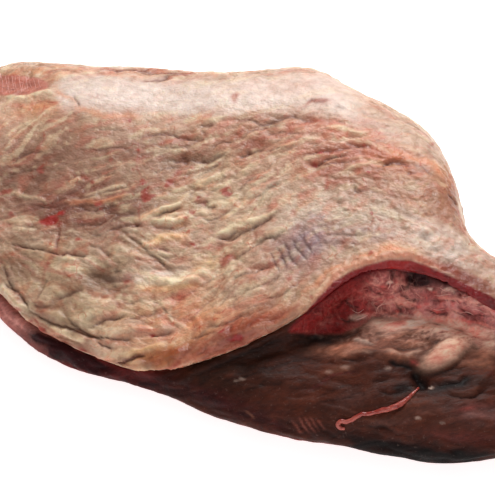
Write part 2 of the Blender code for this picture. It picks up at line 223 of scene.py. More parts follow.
FAT_MOUNDS = (
    Mound((141, 367), 11, 6, 8, 3.0),
    Mound((179, 356), 11, 9, 15, 3.2),
    Mound((157, 353), 9, 7, 0, 2.4),
    Mound((162, 328), 7, 6, 0, 2.2),
    Mound((125, 258), 16, 12, 20, 2.0),
    Mound((68, 279), 18, 13, 0, 2.0),
    Mound((27, 234), 26, 9, -4, 1.8),
    Mound((43, 297), 10, 8, 0, 1.8),
    Mound((13, 297), 10, 8, -50, 1.4),
    Mound((93, 310), 20, 8, 15, 2.0),
    Mound((122, 331), 18, 8, 8, 1.6),
    Mound((216, 298), 20, 14, 10, -2.2),
    Mound((104, 281), 20, 12, -15, -3.0),
    Mound((173, 297), 11, 6, 0, -2.2),
    Mound((424, 240), 6, 4, -10, -2.0),
    Mound((435, 249), 5, 4, -10, -1.8),
    Mound((482, 273), 5, 4, -10, -1.6),
    Mound((314, 166), 6, 5, 0, -1.6),
    Mound((12, 84), 34, 9, 0, -2.5),
    Mound((428, 230), 8, 6, 0, 1.4),
    Mound((447, 240), 9, 6, -30, 1.4),
    Mound((452, 214), 6, 5, 0, 1.2),
)

FAT_GRAIN = (
    Grain((20, 250), -8), Grain((10, 285), -60), Grain((50, 325), -28), Grain((100, 345), -20),
    Grain((130, 320), 12), Grain((150, 255), -35), Grain((180, 275), 3), Grain((100, 195), 12),
    Grain((40, 190), 8), Grain((25, 130), 40), Grain((150, 135), 3), Grain((170, 215), 15),
    Grain((230, 235), 20), Grain((270, 215), 28), Grain((210, 150), 24), Grain((300, 120), 4),
    Grain((300, 160), 14), Grain((370, 145), -8), Grain((420, 160), -22), Grain((430, 205), -30),
    Grain((380, 225), -8), Grain((445, 260), -22), Grain((320, 300), 45), Grain((350, 265), 28),
    Grain((220, 310), 18), Grain((240, 340), 20), Grain((180, 350), 24), Grain((100, 85), 0),
    Grain((240, 90), 2), Grain((400, 110), -25),
)

FAT_PATCHES = (
    Patch((40, 150), 70, 26, 30, "brown_film", 0.75),
    Patch((25, 168), 46, 22, 16, "brown_film", 0.7),
    Patch((120, 150), 80, 30, 5, "pink_film", 0.7),
    Patch((60, 205), 80, 40, 8, "brown_film", 0.95),
    Patch((20, 268), 30, 12, -10, "brown_film", 0.8),
    Patch((135, 150), 70, 16, 4, "brown_film", 0.4),
    Patch((120, 208), 34, 20, 8, "brown_film", 0.5),
    Patch((225, 346), 70, 9, 18, "rust", 0.6),
    Patch((262, 328), 40, 9, 20, "rust", 0.6),
    Patch((222, 205), 24, 12, 20, "bright_fat", 0.8),
    Patch((270, 182), 22, 12, 20, "pale_fat", 0.5),
    Patch((350, 205), 50, 14, 0, "pale_fat", 0.55),
    Patch((342, 232), 46, 14, -6, "blue_film", 0.5),
    Patch((362, 252), 30, 5, 8, "pale_film", 0.6),
    Patch((435, 243), 34, 14, -26, "bright_fat", 0.9),
    Patch((207, 265), 14, 7, 30, "bright_fat", 0.5),
    Patch((168, 278), 36, 7, 3, "bright_fat", 0.6),
    Patch((385, 165), 60, 10, -14, "red_film", 0.5),
    Patch((450, 200), 16, 22, -50, "brown_film", 0.6),
    Patch((480, 284), 20, 8, -30, "red_film", 0.6),
    Patch((110, 215), 50, 26, 10, "brown_film", 0.5),
    Patch((60, 280), 75, 34, -10, "dull_fat", 0.75),
    # Painted shade and brown-grey film in the hollow of the basin.
    Patch((104, 278), 30, 18, -15, "dark_film", 0.8),
    Patch((100, 315), 60, 18, 5, "dull_fat", 0.7),
    Patch((190, 205), 45, 20, 18, "dull_fat", 0.5),
    Patch((200, 160), 40, 18, 15, "dark_film", 0.45),
    Patch((168, 277), 38, 7, 3, "pale_fat", 0.9),
    Patch((207, 265), 16, 8, 30, "yellow_fat", 0.7),
    Patch((195, 315), 75, 26, 14, "orange_fat", 0.75),
    Patch((173, 297), 12, 7, 0, "red_film", 0.8),
    Patch((215, 298), 20, 12, 10, "dull_fat", 0.6),
    Patch((165, 355), 45, 14, 14, "yellow_fat", 0.8),
    Patch((245, 325), 50, 10, 18, "orange_fat", 0.8),
    Patch((250, 140), 55, 16, 8, "red_film", 0.6),
    Patch((330, 128), 60, 14, -4, "red_film", 0.75),
    Patch((320, 158), 50, 14, 6, "red_film", 0.55),
    Patch((400, 160), 55, 12, -20, "orange_fat", 0.65),
    Patch((435, 185), 30, 12, -45, "pink_film", 0.6),
    Patch((365, 150), 40, 14, -6, "red_film", 0.5),
    Patch((350, 208), 70, 18, 0, "pale_film", 0.8),
    Patch((270, 180), 50, 16, 18, "dull_fat", 0.45),
    Patch((440, 245), 50, 22, -28, "pale_fat", 0.8),
    Patch((300, 248), 30, 24, 30, "blue_film", 0.85),
    Patch((265, 262), 26, 16, 20, "pink_film", 0.6),
    Patch((350, 235), 35, 12, 10, "blue_film", 0.45),
    Patch((410, 200), 30, 10, -20, "orange_fat", 0.4),
    Patch((240, 290), 26, 12, 10, "blue_film", 0.35),
    Patch((400, 250), 20, 5, -6, "orange_fat", 0.9),
    Patch((465, 283), 40, 14, -25, "pale_film", 0.5),
    Patch((30, 110), 40, 8, 5, "orange_fat", 0.5),
    Patch((90, 72), 110, 6, 0, "orange_fat", 0.6),
    Patch((360, 95), 60, 8, -28, "orange_fat", 0.4),
)
FAT_GLAZES = (
    Patch((68, 206), 34, 20, 6, "warm_glaze", 1.0),
    Patch((122, 206), 30, 16, 10, "brown_glaze", 0.9),
    Patch((30, 165), 50, 22, 20, "brown_glaze", 1.0),
    Patch((110, 150), 60, 20, 4, "brown_glaze", 0.5),
    Patch((155, 150), 30, 12, 4, "brown_glaze", 0.7),
    Patch((18, 268), 26, 14, -10, "brown_glaze", 1.2),
    Patch((60, 312), 40, 12, -20, "brown_glaze", 1.2),
    # The basin's hollow is glazed darker still: painted shade.
    Patch((104, 280), 22, 13, -15, "brown_glaze", 1.3),
    Patch((250, 326), 46, 11, 22, "warm_glaze", 1.25),
    Patch((215, 343), 40, 9, 18, "warm_glaze", 0.9),
    Patch((165, 357), 28, 9, 14, "yellow_glaze", 1.0),
    Patch((60, 345), 50, 8, -28, "warm_glaze", 0.9),
    Patch((165, 356), 24, 8, 14, "brown_glaze", 0.9),
    Patch((60, 282), 16, 10, -10, "brown_glaze", 0.8),
    Patch((250, 141), 24, 10, 0, "warm_glaze", 0.55),
    Patch((345, 180), 60, 16, -14, "warm_glaze", 0.35),
    Patch((452, 200), 22, 26, -50, "yellow_glaze", 0.7),
    Patch((478, 283), 24, 10, -30, "warm_glaze", 0.9),
    Patch((458, 274), 34, 6, -28, "warm_glaze", 1.3),
    Patch((405, 205), 30, 16, -10, "brown_glaze", 0.7),
    Patch((390, 160), 30, 12, -14, "yellow_glaze", 0.6),
    Patch((303, 246), 26, 18, 25, "blue_glaze", 1.0),
    Patch((300, 88), 60, 10, 0, "yellow_glaze", 0.25),
)
BLOOD_SPOTS = (
    Spot((51, 221), 6.5, 1.0), Spot((60, 215), 4.0, 0.9), Spot((97, 203), 4.0, 0.8),
    Spot((100, 208), 2.5, 0.8), Spot((79, 240), 3.8, 0.8), Spot((145, 196), 4.6, 0.85),
    Spot((135, 195), 3.0, 0.6), Spot((194, 213), 4.2, 0.7), Spot((225, 193), 4.6, 0.85),
    Spot((152, 338), 2.8, 0.9), Spot((238, 338), 3.8, 1.0), Spot((233, 341), 3.0, 0.7),
    Spot((127, 282), 4.0, 0.6), Spot((10, 214), 4.0, 0.6), Spot((5, 192), 5.0, 0.6),
    Spot((42, 172), 4.0, 0.55), Spot((131, 121), 3.0, 0.8), Spot((111, 160), 3.0, 0.5),
    Spot((191, 168), 3.2, 0.7), Spot((92, 181), 3.6, 0.7), Spot((141, 180), 3.0, 0.7),
    Spot((133, 169), 3.0, 0.6), Spot((140, 158), 3.4, 0.4), Spot((167, 182), 4.0, 0.6),
    Spot((178, 174), 5.0, 0.4), Spot((326, 189), 2.6, 0.5), Spot((371, 213), 3.0, 0.8),
    Spot((255, 208), 2.8, 0.6), Spot((294, 210), 3.6, 0.35), Spot((370, 252), 3.0, 0.7),
    Spot((288, 280), 5.4, 0.6), Spot((49, 121), 4.5, 0.4), Spot((50, 262), 4.0, 0.5),
    Spot((434, 143), 2.6, 0.6), Spot((310, 297), 3.6, 0.6), Spot((222, 260), 6.0, 0.5),
    Spot((230, 257), 5.0, 0.4), Spot((270, 262), 4.0, 0.35), Spot((139, 262), 2.4, 0.5),
    Spot((315, 165), 3.6, 0.7), Spot((364, 146), 3.4, 0.5), Spot((216, 102), 1.6, 0.5),
    Spot((123, 293), 3.0, 0.4), Spot((203, 205), 4.0, 0.4), Spot((18, 308), 3.0, 0.7),
    Spot((30, 320), 3.2, 0.7), Spot((42, 330), 3.4, 0.7), Spot((55, 339), 3.0, 0.6),
    Spot((80, 352), 3.0, 0.6), Spot((98, 360), 2.4, 0.5),
)
FAT_STREAKS = (
    # Painted shadow, orange-brown, on the lower side of two cream folds.
    Streak(((163, 215), (175, 209), (187, 203)), 1.8, "orange_shade", 0.7),
    Streak(((172, 227), (182, 223), (191, 215)), 1.8, "orange_shade", 0.7),
    Streak(((60, 203), (75, 203), (89, 201), (106, 201), (122, 199), (135, 196)), 1.6, "orange_fat", 0.7),
    Streak(((123, 217), (140, 217), (152, 214), (163, 210), (175, 204), (185, 199)), 2.0, "bright_fat",
           0.8),
    Streak(((147, 221), (159, 222), (170, 222), (180, 219), (189, 214)), 2.0, "bright_fat", 0.8),
    Streak(((147, 244), (159, 240), (170, 237), (182, 236), (193, 236)), 3.4, "yellow_fat", 0.75),
    Streak(((149, 248), (160, 249), (171, 253)), 2.2, "blood", 0.35),
    Streak(((213, 236), (221, 231), (232, 228), (241, 224)), 1.8, "bright_fat", 0.7),
    Streak(((223, 231), (242, 225), (257, 218), (271, 214)), 1.8, "bright_fat", 0.7),
    Streak(((143, 276), (157, 280), (171, 277), (189, 277)), 3.0, "bright_fat", 0.8),
    Streak(((128, 288), (157, 288), (182, 287), (205, 283)), 3.4, "yellow_fat", 0.6),
    Streak(((70, 313), (82, 316), (94, 313)), 4.0, "bright_fat", 0.7),
    Streak(((36, 297), (46, 299), (52, 302)), 4.0, "bright_fat", 0.5),
    Streak(((60, 258), (68, 257), (78, 259)), 2.2, "bright_fat", 0.6),
    Streak(((122, 356), (135, 351), (153, 349), (170, 344)), 2.4, "yellow_fat", 0.8),
    Streak(((172, 152), (180, 152), (188, 153)), 1.8, "bright_fat", 0.7),
    Streak(((191, 188), (198, 185), (209, 180), (221, 173)), 1.8, "bright_fat", 0.5),
    # Painted shade along the dark valley under a fold.
    Streak(((155, 166), (172, 158), (190, 156), (226, 152)), 5.0, "dark_film", 0.6),
    Streak(((139, 121), (138, 150), (138, 170), (141, 182)), 0.8, "blood", 0.4),
    Streak(((140, 200), (139, 212), (140, 223)), 0.9, "blood", 0.5),
    Streak(((57, 219), (57, 240), (56, 252), (48, 262), (44, 272), (38, 290)), 1.8, "blood", 0.35),
    Streak(((62, 182), (71, 178), (78, 174), (87, 177), (93, 181)), 1.7, "blood", 0.3),
    Streak(((160, 188), (168, 182), (176, 174), (184, 170)), 2.4, "blood", 0.35),
    Streak(((191, 241), (194, 245), (198, 250)), 1.6, "blood", 0.8),
    Streak(((297, 126), (308, 120), (321, 119), (334, 122)), 3.6, "rust", 0.85),
    Streak(((282, 132), (292, 128), (300, 124)), 2.6, "rust", 0.5),
    Streak(((300, 153), (320, 152), (344, 147), (366, 147)), 3.4, "rust", 0.6),
    Streak(((310, 163), (328, 162), (348, 160)), 2.6, "rust", 0.55),
    Streak(((326, 171), (326, 180), (327, 192)), 2.6, "rust", 0.6),
    Streak(((300, 175), (308, 179), (317, 182)), 2.4, "rust", 0.5),
    Streak(((380, 165), (391, 161), (402, 165), (418, 173)), 2.4, "rust", 0.5),
    Streak(((338, 141), (354, 144), (372, 150), (392, 156)), 3.0, "rust", 0.4),
    Streak(((236, 150), (246, 146), (258, 143), (272, 139)), 4.0, "rust", 0.35),
    Streak(((240, 134), (256, 130), (272, 127)), 3.0, "rust", 0.3),
    Streak(((371, 214), (377, 218), (384, 223)), 1.2, "blood", 0.5),
    Streak(((371, 213), (370, 219), (368, 226)), 1.0, "blood", 0.4),
    Streak(((305, 214), (316, 216), (328, 218)), 4.0, "blue_film", 0.6),
    Streak(((128, 292), (134, 286), (130, 280), (126, 272)), 2.4, "blood", 0.35),
    Streak(((112, 306), (122, 303), (130, 299)), 2.6, "blood", 0.3),
    Streak(((160, 300), (168, 296), (178, 298), (186, 302)), 3.6, "rust", 0.5),
    Streak(((150, 300), (160, 312), (172, 322), (186, 330)), 2.2, "rust", 0.35),
    Streak(((180, 322), (192, 318), (206, 318), (222, 322)), 2.4, "rust", 0.3),
    Streak(((230, 309), (244, 304), (262, 300), (280, 296)), 2.2, "rust", 0.35),
    Streak(((262, 322), (276, 317), (290, 309), (302, 297)), 2.4, "rust", 0.5),
    Streak(((300, 297), (314, 283), (330, 271), (350, 261)), 2.6, "orange_fat", 0.6),
    Streak(((350, 260), (372, 253), (394, 250), (416, 252)), 2.6, "orange_fat", 0.7),
    Streak(((290, 328), (303, 313), (318, 295), (335, 278), (351, 267), (368, 261), (389, 256), (411, 257),
            (427, 262), (444, 269), (464, 277), (476, 284), (495, 294)), 4.0, "lip_rim", 0.85),
    Streak(((150, 372), (175, 366), (197, 355), (216, 348), (232, 341), (260, 333), (290, 326)), 5.0,
           "lip_rim", 0.8),
    Streak(((180, 369), (200, 361), (216, 354), (232, 348), (260, 339), (290, 331)), 2.6, "rust", 0.8),
    Streak(((228, 343), (236, 339), (243, 337)), 2.6, "blood", 0.8),
    Streak(((40, 338), (54, 346), (70, 353), (90, 361)), 2.6, "blood", 0.75),
    Streak(((10, 306), (22, 317), (34, 327)), 1.6, "rust", 0.7),
    Streak(((28, 312), (42, 324), (56, 332), (70, 340)), 1.4, "blood", 0.45),
    Streak(((150, 372), (170, 367), (186, 362)), 1.8, "blood", 0.5),
    Streak(((40, 338), (60, 350), (84, 358), (110, 369), (130, 374)), 2.6, "rust", 0.45),
    Streak(((108, 369), (122, 361), (136, 356), (148, 354)), 1.8, "blood", 0.6),
    Streak(((56, 106), (48, 112), (33, 125), (18, 137), (8, 148)), 1.5, "rust", 0.5),
    Streak(((0, 105), (16, 105), (33, 103), (50, 102), (64, 108)), 1.8, "rust", 0.45),
    Streak(((52, 84), (60, 92), (70, 99), (82, 107)), 2.2, "orange_fat", 0.5),
    Streak(((68, 103), (84, 110), (102, 114), (122, 116), (150, 117)), 2.4, "orange_fat", 0.5),
    Streak(((62, 67), (98, 68), (130, 69), (160, 70), (190, 73), (213, 76)), 2.0, "rust", 0.6),
    Streak(((128, 77), (150, 80), (164, 79), (180, 75), (206, 77)), 1.6, "rust", 0.5),
    Streak(((303, 108), (312, 100), (324, 101), (336, 100)), 1.8, "rust", 0.8),
    Streak(((6, 300), (26, 321), (48, 338), (72, 350), (98, 360), (124, 370)), 4.5, "red_film", 0.6),
    Streak(((30, 325), (52, 340), (78, 353), (104, 363)), 2.4, "rust", 0.5),
    Streak(((112, 360), (128, 366), (146, 368)), 2.0, "rust", 0.4),
    Streak(((376, 148), (401, 153), (426, 163), (442, 173), (450, 182)), 3.4, "orange_fat", 0.55),
)
HATCH_WIDTH = 1.3

# The pale band of smooth fat along the far crest, and the lens of red meat that shows through the fat.
BAND = ((72, 92), (100, 93), (140, 95), (180, 98), (230, 96), (290, 92), (330, 92), (366, 108), (400, 128),
        (432, 150))
BAND_WIDTH = 19.0
WINDOW = Mound((10, 84.5), 38, 10.5, 0, 0)

# The cut face under the lip: its upper and lower border, and the pixel column where its torn part begins.
FACE_TOP = ((288, 331), (303, 316), (318, 298), (334, 281), (351, 271), (368, 265), (389, 260), (411, 261),
            (427, 266), (444, 273), (464, 282), (475, 288), (495, 298), (520, 312))
FACE_FOOT = ((288, 333), (318, 334), (341, 333), (361, 326), (373, 317), (392, 318), (426, 320), (447, 323),
             (467, 328), (495, 334), (520, 340))
TORN_FROM = 345

# The pixel column where the cut face ends. The photograph ends before it, and the rest is finished alike.
RIGHT_END = 508

MUSCLE_CREASES = (
    Line(((291, 334), (318, 338), (345, 336), (364, 328)), 3.4, 2.6),
    Line(((318, 341), (334, 342), (348, 338)), 2.6, 1.2),
    Line(((333, 355), (342, 356), (353, 358), (369, 361)), 1.9, 1.3),
    Line(((366, 348), (376, 350), (386, 352)), 1.7, 1.0),
    Line(((384, 361), (395, 365), (408, 367), (414, 371)), 2.4, 2.0),
    Line(((410, 371), (420, 380), (429, 388)), 5.0, 3.0),
    Line(((429, 388), (447, 387), (464, 381), (478, 377)), 2.8, 2.4),
    Line(((413, 370), (431, 374), (448, 370), (462, 361), (473, 350)), 1.9, 1.8),
    Line(((420, 357), (431, 348), (444, 340), (458, 337)), 1.5, 0.8),
    Line(((443, 393), (453, 397), (464, 396), (480, 393), (495, 389)), 2.0, 1.9),
    Line(((303, 393), (316, 385), (333, 377), (351, 372), (363, 369)), 1.8, 0.9),
    Line(((314, 396), (332, 390), (350, 387), (366, 384)), 1.8, 0.7),
    Line(((371, 394), (387, 393), (402, 392), (412, 390)), 1.8, 1.3),
    Line(((366, 382), (380, 381), (392, 378)), 1.8, 0.8),
    Line(((310, 406), (335, 399), (362, 397)), 1.8, 0.7),
    Line(((240, 371), (265, 369), (300, 362), (320, 354)), 2.2, 1.0),
    Line(((190, 377), (225, 361), (262, 346), (290, 338)), 3.4, 1.8),
    Line(((215, 385), (240, 377), (270, 373), (300, 372)), 2.0, 0.8),
    Line(((230, 396), (258, 388), (288, 384)), 2.0, 0.7),
    Line(((386, 341), (404, 338), (424, 337), (446, 333)), 1.6, 0.8),
    Line(((388, 350), (406, 350), (422, 347)), 1.6, 0.8),
    Line(((372, 333), (386, 330), (402, 327)), 1.5, 0.7),
    Line(((470, 352), (480, 350), (492, 352)), 2.2, 1.3),
    Line(((468, 364), (480, 366), (492, 364)), 1.8, 1.1),
    Line(((357, 424), (372, 426), (388, 430), (402, 436)), 2.6, 1.2),
    Line(((389, 412), (400, 408), (410, 400), (417, 393)), 1.6, 0.8),
    Line(((410, 262), (412, 282), (398, 292)), 3.0, 2.4),
    Line(((418, 272), (440, 277), (460, 285), (476, 294)), 3.6, 3.0),
    Line(((389, 262), (391, 276), (388, 285)), 1.8, 1.5),
    Line(((425, 300), (445, 301), (470, 303)), 1.8, 1.3),
    Line(((448, 310), (466, 316), (480, 315)), 1.8, 1.3),
    Line(((346, 302), (356, 312), (352, 322)), 1.8, 1.1),
    Line(((366, 296), (372, 306), (384, 310)), 1.8, 1.1),
    Line(((335, 312), (344, 303), (352, 296)), 1.8, 0.9),
    Line(((396, 306), (408, 309), (420, 306)), 1.8, 1.1),
)
MUSCLE_RIDGES = (
    Line(((321, 349), (336, 348), (351, 346), (368, 349), (380, 351)), 2.6, 1.5),
    Line(((350, 341), (362, 341), (376, 345)), 2.2, 1.6),
    Line(((366, 331), (381, 328), (401, 323), (421, 320)), 2.2, 1.0),
    Line(((381, 341), (401, 336), (421, 334), (453, 329)), 2.2, 1.1),
    Line(((387, 347), (407, 346), (427, 343)), 2.0, 0.9),
    Line(((372, 337), (388, 333), (408, 330), (430, 328)), 1.6, 0.8),
    Line(((447, 392), (460, 393), (470, 391), (486, 386)), 2.4, 1.3),
    Line(((436, 378), (452, 379), (466, 375)), 2.4, 1.0),
    Line(((422, 394), (411, 407), (396, 414), (381, 422), (361, 427)), 1.8, 0.9),
    Line(((405, 407), (413, 399), (418, 392)), 1.5, 1.0),
    Line(((470, 360), (480, 361), (492, 358)), 2.6, 1.3),
    Line(((484, 374), (490, 373), (496, 370)), 2.6, 1.2),
    Line(((460, 340), (476, 340), (490, 343)), 2.2, 1.1),
    Line(((432, 294), (444, 296), (454, 293), (460, 298), (475, 295)), 1.4, 1.2),
    Line(((376, 313), (379, 305), (389, 303)), 1.4, 1.0),
    Line(((357, 320), (364, 314), (372, 318)), 1.6, 1.1),
    Line(((472, 305), (484, 305), (494, 308)), 1.6, 1.1),
    Line(((412, 303), (420, 306), (428, 300)), 1.4, 0.9),
)
MUSCLE_MOUNDS = (
    Mound((455, 346), 12, 6, 20, 0.8),
    Mound((393, 357), 12, 5, -10, 2.4),
    Mound((412, 355), 9, 5, 25, 2.2),
    Mound((421, 380), 14, 7, -38, -3.0),
    Mound((343, 369), 12, 5, 10, 1.0),
    Mound((386, 283), 4, 5, 0, 1.2),
    Mound((366, 301), 12, 7, 30, 1.2),
    Mound((335, 300), 14, 7, 42, 1.2),
    Mound((400, 290), 12, 7, 10, 1.2),
    Mound((432, 306), 10, 6, -10, 1.3),
    Mound((460, 309), 9, 5, -10, 1.5),
    Mound((480, 322), 10, 6, -15, 1.6),
    Mound((340, 322), 18, 6, 14, 1.2),
    Mound((478, 385), 12, 5, 10, 1.3),
    Mound((250, 392), 30, 10, -8, 1.0),
    Mound((300, 380), 34, 10, 6, 1.2),
    Mound((460, 415), 34, 12, 2, 1.4),
    Mound((448, 337), 40, 9, -6, 3.6),
    Mound((400, 425), 26, 6, -8, 1.2),
)
# The lump of fat on the muscle, with a sharper edge than the other mounds.
NODULE = Mound((444, 355), 26, 10.5, 28, 3.6)
MUSCLE_STREAKS = (
    Streak(((321, 349), (336, 348), (351, 346), (368, 349), (380, 351)), 2.4, "pale_fascia", 0.8),
    Streak(((350, 340), (362, 341), (377, 345)), 1.8, "white_fat", 0.75),
    Streak(((366, 331), (381, 328), (401, 323), (421, 320)), 2.4, "pale_fascia", 0.7),
    Streak(((381, 341), (401, 336), (421, 334), (453, 329)), 2.2, "pale_fascia", 0.7),
    Streak(((387, 347), (407, 346), (427, 343)), 1.8, "pale_fascia", 0.55),
    Streak(((370, 337), (388, 333), (408, 330), (430, 328)), 1.4, "white_fat", 0.35),
    Streak(((384, 345), (400, 341), (418, 340), (440, 337)), 1.4, "brown_membrane", 0.6),
    Streak(((340, 352), (352, 350), (364, 352), (374, 355)), 1.4, "nodule_fat", 0.5),
    Streak(((383, 353), (394, 355), (406, 356)), 2.2, "nodule_fat", 0.8),
    Streak(((404, 357), (414, 353), (424, 348)), 2.4, "nodule_fat", 0.8),
    Streak(((409, 362), (416, 362), (420, 366)), 2.2, "raw_bulge", 0.7),
    Streak(((384, 362), (395, 366), (408, 368), (414, 372)), 2.0, "black_shade", 0.9),
    Streak(((410, 371), (420, 380), (429, 388)), 5.5, "black_shade", 0.9),
    Streak(((429, 388), (447, 387), (464, 381), (478, 377)), 2.8, "black_shade", 0.85),
    # Painted shade under the nodule.
    Streak(((432, 372), (446, 374), (458, 372), (470, 367)), 2.4, "dark_membrane", 0.8),
    Streak(((303, 393), (316, 385), (333, 377), (351, 372), (363, 369)), 1.8, "red_membrane", 0.6),
    Streak(((390, 388), (404, 388), (418, 388)), 5.5, "black_shade", 0.85),
    Streak(((405, 406), (413, 398), (418, 391)), 1.0, "pale_fascia", 0.6),
    Streak(((447, 392), (460, 393), (470, 391), (486, 386)), 2.2, "brown_membrane", 0.7),
    Streak(((468, 361), (480, 362), (492, 359)), 2.6, "pale_fascia", 0.8),
    Streak(((484, 374), (490, 373), (496, 370)), 2.2, "red_strip", 0.6),
    # Painted bluish sheen over the lower muscle.
    Streak(((362, 427), (384, 423), (404, 420), (424, 416)), 3.4, "blue_membrane", 0.25),
    Streak(((407, 412), (430, 409), (452, 405), (474, 400)), 4.0, "blue_membrane", 0.25),
    Streak(((366, 322), (384, 318), (400, 316), (420, 318)), 2.0, "white_fat", 0.4),
    Streak(((410, 330), (426, 328), (444, 328), (462, 331)), 1.6, "white_fat", 0.5),
    Streak(((452, 336), (468, 338), (486, 343)), 1.6, "white_fat", 0.5),
    Streak(((408, 324), (420, 326), (434, 330)), 1.8, "raw_bulge", 0.6),
    Streak(((290, 418), (297, 426), (303, 434)), 1.1, "pink_strip", 0.7),
    Streak(((296, 415), (303, 424), (309, 433)), 1.1, "pink_strip", 0.7),
    Streak(((303, 415), (310, 424), (316, 434)), 1.1, "pink_strip", 0.7),
    Streak(((310, 416), (316, 424), (321, 433)), 1.0, "pink_strip", 0.6),
    Streak(((317, 418), (322, 425), (327, 433)), 1.0, "pink_strip", 0.5),
    Streak(((242, 410), (249, 414), (255, 420)), 1.2, "pale_fascia", 0.5),
    # Dark meat and painted shade along the foot of the cut face.
    Streak(((297, 332), (318, 333), (341, 330)), 2.0, "face_band", 0.5),
    Streak(((349, 317), (358, 319), (366, 317)), 2.2, "white_fat", 0.6),
    Streak(((440, 293), (449, 292), (456, 295)), 1.8, "white_fat", 0.6),
    Streak(((452, 322), (466, 322), (480, 325), (495, 329)), 2.2, "raw_bulge", 0.6),
    Streak(((426, 318), (436, 322), (448, 324)), 2.4, "raw_bulge", 0.6),
    Streak(((396, 318), (410, 321), (424, 322)), 2.4, "raw_bulge", 0.45),
    Streak(((448, 320), (456, 323), (470, 330), (484, 334)), 1.4, "white_fat", 0.45),
)
MUSCLE_GRAIN = (
    Grain((190, 385), 12), Grain((230, 380), 14), Grain((260, 400), -12), Grain((300, 365), 10),
    Grain((340, 345), 10), Grain((390, 335), 8), Grain((440, 330), -8), Grain((480, 330), -12),
    Grain((330, 395), 10), Grain((380, 400), 14), Grain((420, 410), 20), Grain((470, 410), 4),
    Grain((310, 425), -55), Grain((400, 440), -10), Grain((450, 375), 12), Grain((330, 300), 40),
    Grain((380, 285), 15), Grain((440, 290), -15), Grain((30, 325), -40), Grain((70, 350), -28),
    Grain((120, 375), -15),
)
MUSCLE_PATCHES = (
    # Painted shade on the dark membrane under the lip's overhang.
    Patch((230, 370), 60, 26, 14, "dark_membrane", 0.9),
    Patch((312, 340), 34, 8, -2, "black_shade", 0.95),
    Patch((250, 415), 60, 12, -18, "red_strip", 0.9),
    Patch((205, 395), 40, 8, -18, "red_strip", 0.7),
    Patch((318, 392), 50, 16, 8, "membrane", 0.6),
    Patch((400, 334), 50, 9, 8, "pale_fascia", 0.6),
    Patch((420, 344), 26, 6, 10, "pale_fascia", 0.7),
    Patch((338, 349), 24, 5, 4, "pale_fascia", 0.5),
    Patch((343, 369), 11, 5, 10, "pale_fascia", 0.55),
    Patch((393, 357), 12, 5, -10, "pale_fascia", 0.8),
    Patch((412, 356), 10, 5, 25, "pale_fascia", 0.8),
    Patch((478, 347), 20, 9, 0, "brown_membrane", 0.8),
    Patch((480, 362), 18, 5, 0, "pale_fascia", 0.6),
    Patch((421, 380), 16, 8, -38, "black_shade", 0.95),
    Patch((450, 386), 26, 5, 12, "black_shade", 0.8),
    Patch((482, 384), 14, 7, 8, "dark_membrane", 0.6),
    Patch((430, 408), 50, 12, 8, "brown_membrane", 0.5),
    Patch((480, 410), 26, 14, 0, "red_membrane", 0.4),
    Patch((460, 437), 40, 7, -6, "red_membrane", 0.5),
    # Painted shade along the bottom edge, where the meat turns under, with dark blood.
    Patch((385, 446), 60, 10, -12, "black_blood", 0.7),
    Patch((385, 448), 60, 9, -12, "black_shade", 0.9),
    Patch((450, 457), 70, 10, 0, "black_blood", 0.8),
    Patch((440, 456), 70, 8, -3, "black_shade", 1.2),
    # Painted bluish sheen.
    Patch((345, 400), 18, 6, 6, "blue_membrane", 0.5),
    Patch((20, 322), 36, 10, -42, "speckled_strip", 0.95),
    Patch((58, 347), 26, 7, -28, "speckled_strip", 0.6),
    Patch((68, 353), 34, 8, -26, "black_blood", 2.6),
    Patch((130, 380), 50, 7, -14, "black_blood", 0.8),
    Patch((100, 370), 20, 5, -14, "black_blood", 0.7),
)
# Dark cracks and deep places in the cut face, painted with dark blood and shade.
FACE_CRACKS = (
    Line(((389, 261), (388, 270), (391, 279)), 1.6, 0),
    Line(((398, 287), (404, 295), (412, 299), (424, 300)), 1.6, 0),
    Line(((345, 297), (352, 306), (361, 309)), 1.2, 0),
    Line(((366, 284), (374, 291), (384, 296)), 1.3, 0),
    Line(((424, 309), (438, 315), (452, 316)), 1.4, 0),
    Line(((452, 303), (466, 311), (482, 314), (494, 319)), 1.4, 0),
    Line(((395, 303), (401, 311), (399, 318)), 1.4, 0),
    Line(((340, 318), (352, 322), (362, 316)), 1.3, 0),
    Line(((470, 322), (480, 327), (494, 329)), 1.2, 0),
)
# The pale tissue between the cut face and the muscle.
FASCIA_PATCHES = (
    Patch((446, 330), 44, 7, -6, "bright_fascia", 1.3),
    Patch((414, 325), 32, 5, 0, "bright_fascia", 1.4),
    Patch((390, 323), 20, 4, 6, "bright_fascia", 0.45),
    Patch((480, 342), 26, 8, -10, "bright_fascia", 0.8),
    Patch((338, 349), 22, 4, 3, "pale_fascia", 0.7),
    Patch((486, 352), 16, 6, 0, "pale_fascia", 0.6),
    Patch((399, 323), 9, 3, 8, "raw_bulge", 0.5),
    Patch((437, 323), 10, 3, -8, "raw_bulge", 0.55),
    Patch((462, 331), 16, 3, -10, "raw_bulge", 0.4),
    Patch((482, 415), 22, 9, 0, "blue_membrane", 0.65),
    Patch((466, 408), 10, 3, 10, "red_membrane", 0.4),
)
# Small painted highlights where the meat is wet, and specks of fat.
MUSCLE_GLINTS = (
    Spot((242, 379), 2.6, 0.2), Spot((236, 381), 2.0, 0.15), Spot((388, 368), 2.6, 0.25),
    Spot((431, 387), 1.8, 0.6), Spot((418, 418), 2.4, 0.25), Spot((442, 423), 2.2, 0.2),
    Spot((329, 372), 3.0, 0.12), Spot((345, 367), 3.5, 0.15), Spot((447, 290), 1.8, 1.0),
    Spot((430, 289), 2.0, 0.8), Spot((390, 283), 2.2, 1.0),
)

